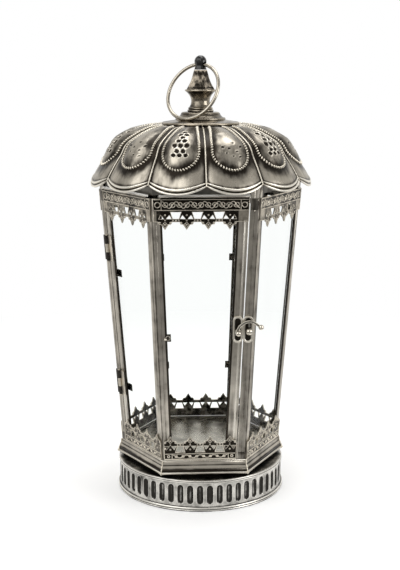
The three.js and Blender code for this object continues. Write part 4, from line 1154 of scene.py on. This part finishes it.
rib_steps = 40
rib_from = 0.03
rib_to = 0.995
rib_lift = 0.45
rib_wire = 0.8
rib_share = np.linspace(rib_from, rib_to, rib_steps)
rib_line = petal_place(rib_share, np.ones(rib_steps), np.full(rib_steps, rib_lift)) * mm
rib_lines = []
for index in range(petal_count):
    turn = Matrix.Rotation(radians(270 + index * 360 / petal_count - 180 / petal_count), 3, "Z")
    rib_lines.append([turn @ Vector(point) for point in rib_line])
wire("roof_ribs", rib_lines, rib_wire, rope_pewter)


# Head frame, crown plate and nut: the hidden steelwork under the roof, painted dark as the
# shade under the roof. The roof's seams sit on the frame's collar, and the nut under the crown
# plate draws the finial's stem down.
dark_iron_and_shade = metal("dark_iron_and_shade", (0.2, 0.19, 0.17), (0.02, 0.018, 0.015), 0.45, (60, 60, 60))
for name in ["head_frame", "crown_plate", "finial_nut"]:
    finish_node(name, dark_iron_and_shade)


# Cap: a spun disc with a rolled lip and a hollow-sided collar, over the heads of the petals. It is
# browner than the roof, and the finial's stem clamps it down.
cap_foot = 402.2
cap_radius = 41.6
disc_top = cap_foot + 4.8
cap_top = cap_foot + 13.4
cap_profile = [(3.3, cap_foot, 0.7), (cap_radius - 2, cap_foot, 0.9)]
cap_profile += arc((cap_radius - 1.5, cap_foot + 1.6), 1.5, -80, 85, 8, (0.35, -0.1))
cap_profile += [(cap_radius - 2.6, cap_foot + 3.2, 0.6), (cap_radius - 4, cap_foot + 3.4, 0.35)]
cap_profile += [(33, disc_top - 0.5, 0.25), (29, disc_top, 0.3), (27.2, disc_top + 0.5, 0.6)]
cap_profile += arc((25.6, disc_top + 1.5), 1.3, -30, 120, 6, (0.2, 0))
cap_profile += arc((27.2, cap_top + 0.4), 6.6, 250, 192, 7, (0.45, 0.3))
cap_profile += arc((18.8, cap_top - 1.5), 1.5, 0, 90, 5, (0, 0.1))
cap_profile += [(15.5, cap_top, 0.7), (3.3, cap_top, 0.7)]
turned_pewter = metal(
    "turned_pewter", (0.43, 0.38, 0.3), pewter_dark, 0.2, (40, 40, 300), 0.85, 1.6, bump=0.06,
)
add_piece("cap", moulding(cap_profile, 96, 0), turned_pewter, replaces=["roof_cap"], sharp=50)


# Finial: a turned baluster with a rounded foot and a rim, under an eight-sided embossed cone. Both
# are cast pewter on the one stem that runs down through the cap.
baluster_foot = 415.9
cone_foot = baluster_foot + 21.7
cone_top = cone_foot + 22.2
baluster_profile = [(2.9, baluster_foot - 3, 0.8), (13, baluster_foot, 0.8)]
baluster_profile += arc((12.7, baluster_foot + 1.1), 1.4, -60, 60, 6, (0.3, 0))
baluster_profile += [(12.7, baluster_foot + 2.5, 0.9)]
baluster_profile += arc((12.2, baluster_foot + 3.6), 1.0, -50, 80, 5, (0.3, 0.1))
baluster_profile += [
    (11.6, baluster_foot + 5.4, 0.3), (10.6, baluster_foot + 7.6, 0.2), (9.95, baluster_foot + 10.4, 0.1),
    (10.1, baluster_foot + 12.8, 0.1), (10.8, baluster_foot + 15.2, 0.1), (12.2, baluster_foot + 17.8, 0.2),
    (14.0, baluster_foot + 19.9, 0.3), (15.3, baluster_foot + 20.9, 0.5),
]
baluster_profile += arc((15.8, cone_foot + 0.7), 1.0, -80, 100, 8, (0, -0.1))
baluster_profile += [(14.5, cone_foot + 1.9, 0.8), (2.9, cone_foot + 2.0, 0.8)]
bm = moulding(baluster_profile, 64, 0)
add_piece("baluster", bm, turned_pewter, replaces=["finial_spindle"], sharp=50)
cone_profile = [
    (2.9, cone_foot + 1.0, 0.8), (15.0, cone_foot + 1.2, 0.6), (15.6, cone_foot + 2.2, 0.1),
    (15.2, cone_foot + 3.0, 0.5), (13.9, cone_foot + 5.0, 0.2), (12.3, cone_foot + 7.7, 0.2),
    (10.8, cone_foot + 10.8, 0.2), (9.6, cone_foot + 14.2, 0.2), (8.6, cone_foot + 17.8, 0.3),
    (7.7, cone_foot + 20.6, 0.3), (7.4, cone_top - 0.6, 0.0), (7.0, cone_top, 0.1), (2.9, cone_top, 0.7),
]
embossed_pewter = metal(
    "embossed_pewter", (0.62, 0.54, 0.43), pewter_dark, 0.4, (260, 260, 150), 0.96, 1.4, bump=0.6,
)
add_piece("cone", moulding(cone_profile, 8, radians(22.5)), embossed_pewter, sharp=30)


# Ball: black glossy enamel on a turned neck, bored through for the ring. It screws on the stem
# above the cone.
black_enamel, tree = shader_tree("black_enamel")
place = add_node(tree, "TexCoord")
orange_peel = add_node(tree, "TexNoise", {"Vector": place.outputs["Object"], "Scale": 320, "Detail": 2})
gloss = add_node(tree, "MapRange", {"Value": orange_peel.outputs["Fac"], "To Min": 0.04, "To Max": 0.14})
ripple = add_node(tree, "Bump", {"Height": orange_peel.outputs["Fac"], "Strength": 0.04, "Distance": 0.0005})
surface = add_node(tree, "BsdfPrincipled", {
    "Base Color": (0.006, 0.006, 0.006, 1), "IOR": 1.5,
    "Roughness": gloss.outputs["Result"], "Normal": ripple.outputs["Normal"],
})
add_node(tree, "OutputMaterial", {"Surface": surface.outputs["BSDF"]})
finish_node("finial_ball", black_enamel, soft=0.1)


# Ring: bright drawn wire bent round and passed through the ball. It swings in the bore and rests
# on the cap's disc.
ring_radius = 31.4
ring_wire = 1.9
ring_clear = 0.3
ring_yaw = radians(-39)
ring_pivot = Vector((0, 0, 465.6))
ring_drop = ring_pivot.z - disc_top - ring_wire - ring_clear
ring_lean = np.arccos(ring_drop / (2 * ring_radius))
lean = Matrix.Rotation(ring_yaw, 4, "Z") @ Matrix.Rotation(-ring_lean, 4, "X")
swing = Matrix.Translation(ring_pivot) @ lean
bm = bmesh.new()
circle = bmesh.ops.create_circle(
    bm, segments=16, radius=ring_wire, matrix=Matrix.Translation((ring_radius, 0, 0)),
)
bmesh.ops.spin(
    bm, geom=circle["verts"] + list(bm.edges), cent=(0, 0, 0), axis=(0, 1, 0), angle=2 * pi,
    steps=120, use_merge=True,
)
place = Matrix.Scale(mm, 4) @ swing @ Matrix.Translation((0, 0, -ring_radius))
bmesh.ops.transform(bm, matrix=place, verts=bm.verts)
bright_wire = metal(
    "bright_wire", (0.46, 0.42, 0.35), (0.04, 0.035, 0.028), 0.17, (60, 60, 60), 1.05, 1.7, bump=0.02,
)
add_piece("ring", bm, bright_wire, body="ring", replaces=["carry_ring"], sharp=80)


# Hinges: cast leaves on the hinge post and on the door, joined by a bright pin. The post's leaf is
# blackened iron, and the door's is pewter like its pin.
black_iron = metal("black_iron", (0.05, 0.045, 0.04), (0.01, 0.009, 0.008), 0.45, (90, 90, 90))
for name in nodes:
    if name.startswith("hinge_post_leaf"):
        finish_node(name, black_iron, soft=0.2)
    elif name.startswith(("hinge_pin", "hinge_door_leaf")):
        finish_node(name, bright_pewter, soft=0.2)


# Latch: two oblong plates with a raised rim, a ball-headed pivot on the door and a ball-headed
# catch on the post. The hooked lever turns on the pivot and drops over the catch.
latch_level = 196.7
latch_u = {"door": 34.065, "post": 44.665}
pivot_drop = 2.2
catch_drop = 1
catch_shift = 0.8
plate_spread = 1.15
plate_rim = 1.5
plate_step = 0.4
plate_sink = 0.75
plate_front = 1.8
plate_soft = 0.3
plate_soft_angle = 50
plate_edge_dirt = -0.4
rim_dirt = -0.3
sunk_dirt = 1.4
stud_radius = 1.3
pivot_ball = 3.1
pivot_ball_out = 8.2
catch_ball = 3.7
catch_ball_out = 5.8
lever_wire = 1.2
lever_out = 3.45
lever_rise = 11.3
lever_span = 22.5
lever_ball = 2.8
lever_end_rise = 0.44
eye_radius = 2.35
eye_wire = 0.75
# Two pale wires along the lever's edges are painted highlights: their offset, radius and distance out
highlight_shift = 1.05
highlight_wire = 0.42
highlight_out = lever_out + 0.7
tooth_gap = 0.5
front_face = face_matrix(radians(face_angles["front"]))
pale_pewter = metal(
    "pale_pewter", (0.78, 0.73, 0.63), (0.03, 0.026, 0.021), 0.38, (150, 150, 150), 1.0, 1.5, bump=0.08,
)
latch_bodies = {"door": "door", "post": "lantern"}
for place, body in latch_bodies.items():
    name = "latch_" + place + "_plate"
    bm = frame_copy(name)
    middle = front_face @ Matrix.Translation((latch_u[place], 0, 0))
    spread = middle @ Matrix.Diagonal((plate_spread, 1, 1, 1)) @ middle.inverted()
    bmesh.ops.transform(bm, matrix=spread, verts=bm.verts)
    patina_and_shade = bm.faces.layers.float.new("patina_and_shade")
    out = front_face.to_3x3() @ Vector((0, 0, 1 / mm))
    front = [face for face in bm.faces if face.normal.dot(out) > facing]
    bmesh.ops.inset_region(bm, faces=front, thickness=plate_rim * mm, use_even_offset=True)
    bmesh.ops.inset_region(
        bm, faces=front, thickness=plate_step * mm, depth=-plate_sink * mm, use_even_offset=True,
    )
    for face in bm.faces:
        face[patina_and_shade] = rim_dirt
    for face in front:
        face[patina_and_shade] = sunk_dirt
    soften(bm, plate_soft, plate_soft_angle, plate_edge_dirt)
    add_piece("latch_" + place + "_link", bm, pale_pewter, body, [name])


def stud(ball_radius, ball_out, plate_out):
    """Profile of a stem with a ball head, as (radius, distance out) from the plate."""
    start = -90 + 2 * 90 * stud_radius / (pi * ball_radius)
    profile = [(0, plate_out, 0.4), (stud_radius, plate_out, 0.6)]
    profile += arc((0, ball_out), ball_radius, start, 90, 12, (0.5, -0.1))
    return profile


ball_pewter = metal(
    "ball_pewter", (0.7, 0.65, 0.56), (0.05, 0.042, 0.033), 0.17, (90, 90, 90), 1.0, 1.6, bump=0.03,
)


def add_stud(name, u, v, ball_radius, ball_out, plate_out, body, *replaces):
    """Sets a ball-headed stud on the front face, u along it and v up it."""
    bm = moulding(stud(ball_radius, ball_out, plate_out), 24, 0)
    place = front_face @ Matrix.Translation((u, v, 0)) @ Matrix.Scale(1 / mm, 4)
    bmesh.ops.remove_doubles(bm, verts=bm.verts, dist=1e-7)
    bmesh.ops.transform(bm, matrix=place, verts=bm.verts)
    add_piece(name, bm, ball_pewter, body, replaces)


pivot_v = slope(latch_level) - pivot_drop
catch_u = latch_u["post"] + catch_shift
catch_v = slope(latch_level) - catch_drop
add_stud(
    "pivot_stud", latch_u["door"], pivot_v, pivot_ball, pivot_ball_out, plate_front, "door", "latch_pivot",
)
add_stud(
    "catch_stud", catch_u, catch_v, catch_ball, catch_ball_out, plate_front, "lantern", "latch_catch",
)

# The lever's middle line, across and up from its pivot
lever_points = [
    (-0.6, 1.6), (lever_span * 0.1, lever_rise * 0.6), (lever_span * 0.36, lever_rise * 0.95),
    (lever_span * 0.6, lever_rise), (lever_span * 0.82, lever_rise * 0.8), (lever_span, lever_rise * 0.52),
]
lever_x, lever_y = spline(lever_points, 8)[:2]


def lever_place(x, y, out=lever_out):
    """A place in metres, across and up from the lever's pivot and out from the front face."""
    return front_face @ Vector((latch_u["door"] + x, pivot_v + y, out))


lever_line = [lever_place(x, y) for x, y in zip(lever_x, lever_y)]
slope_x, slope_y = np.gradient(lever_x), np.gradient(lever_y)
slope_long = np.hypot(slope_x, slope_y)
# Pale wires along both edges of the lever, as painted highlights
lever_edge_highlights = [
    [
        lever_place(x - side * dy / long, y + side * dx / long, highlight_out)
        for x, y, dx, dy, long in zip(lever_x, lever_y, slope_x, slope_y, slope_long)
    ]
    for side in (-highlight_shift, highlight_shift)
]
tooth_line = [
    front_face @ Vector((catch_u, catch_v + catch_ball + tooth_gap, lever_out)),
    front_face @ Vector((catch_u, pivot_v + lever_rise, lever_out)),
]
wire("latch_lever", [lever_line, tooth_line], lever_wire, dark_iron_and_shade, "hook")
wire("lever_edge_highlights", lever_edge_highlights, highlight_wire, pale_pewter, "hook")
bm = moulding(arc((eye_radius, 0), eye_wire, 0, 330, 11, (0, 0)), 24, 0)
eye_place = front_face @ Matrix.Translation((latch_u["door"], pivot_v, lever_out)) @ Matrix.Scale(1 / mm, 4)
bmesh.ops.transform(bm, matrix=eye_place, verts=bm.verts)
end_place = front_face @ Matrix.Translation((
    latch_u["door"] + lever_span + lever_ball / 2, pivot_v + lever_rise * lever_end_rise, lever_out,
))
bmesh.ops.create_uvsphere(bm, u_segments=24, v_segments=14, radius=lever_ball, matrix=end_place)
add_piece("lever_ends", bm, ball_pewter, "hook", ["latch_hook"], sharp=80)


# Clip trim: the glass clip on the door's corner stile has a curled end and a round-headed screw,
# and a second screw holds the stile at its foot.
clip_level = 187
clip_screw_in = 7.9
clip_screw_radius = 1.6
clip_screw_out = 1.3
corner_level = 66
corner_screw_in = 2.6
corner_screw_radius = 1.5
corner_screw_out = 1.2
screw_sink = -0.3
clip_curl_in = 10.7
clip_curl_up = 1
clip_curl = 2.3
clip_curl_out = 0.8
clip_curl_from = -130
clip_curl_to = 190
clip_curl_steps = 20
clip_wire = 0.5
clip_u = clip_screw_in - half_face(clip_level)
corner_u = corner_screw_in - half_face(corner_level)
add_stud("clip_screw", clip_u, slope(clip_level), clip_screw_radius, clip_screw_out, screw_sink, "door")
add_stud(
    "corner_screw", corner_u, slope(corner_level), corner_screw_radius, corner_screw_out, screw_sink, "door",
)
curl_u = clip_curl_in - half_face(clip_level)
curl_v = slope(clip_level) + clip_curl_up
curl_line = [
    front_face @ Vector((curl_u + clip_curl * cos(turn), curl_v + clip_curl * sin(turn), clip_curl_out))
    for turn in np.linspace(radians(clip_curl_from), radians(clip_curl_to), clip_curl_steps)
]
wire("clip_curl", [curl_line], clip_wire, post_pewter, "door")


# Door lip: a strip of sheet folded over the head of both door panels, painted near-white to
# stand for the white backdrop seen through the gap above the door, with a dark seam under it.
lip_from = top_band[1] + 2.3
lip_from_out = 2.7
lip_to = top_band[1] + 4.3
lip_to_out = 2.2
lip_thick = 0.9
# How far the lip ends short of a face's left and right edges
lip_insets = {"front": (7.5, 9.5), "front_left": (door_edge, band_inset)}
# Near-white as painted light: the backdrop seen through the gap above the door
gap_light_sheet = metal(
    "gap_light_sheet", (0.98, 0.96, 0.92), (0.3, 0.28, 0.25), 0.12, (60, 60, 60), 1.3, 2.2,
    bump=0.02, metallic=0.6,
)
for place, (left_inset, right_inset) in lip_insets.items():
    face_place = face_matrix(radians(face_angles[place]))
    half = half_face(top_band[1])
    spots = [
        (u, slope(level), out)
        for level, out in ((lip_from, lip_from_out), (lip_to, lip_to_out))
        for u in (left_inset - half, half - right_inset)
    ]
    bm = bmesh.new()
    corners = [bm.verts.new(face_place @ Vector(spot)) for spot in spots]
    sheet = bm.faces.new([corners[0], corners[1], corners[3], corners[2]])
    bmesh.ops.solidify(bm, geom=[sheet], thickness=lip_thick * mm)
    add_piece("door_lip_" + place, bm, gap_light_sheet, "door")


# Plate screws: two small round heads of bright pewter on the latch post's upper plate. They fasten
# the plate to the post.
plate_screw_radius = 0.9
plate_screw_out = 1.2
plate_screw_foot = 0.2
# How far in from the face's right edge, and at what level
plate_screws = {"plate_screw_1": (1.6, 332.2), "plate_screw_2": (4.6, 321.2)}
for name, (screw_in, level) in plate_screws.items():
    add_stud(
        name, half_face(level) - screw_in, slope(level), plate_screw_radius, plate_screw_out,
        plate_screw_foot, "lantern",
    )
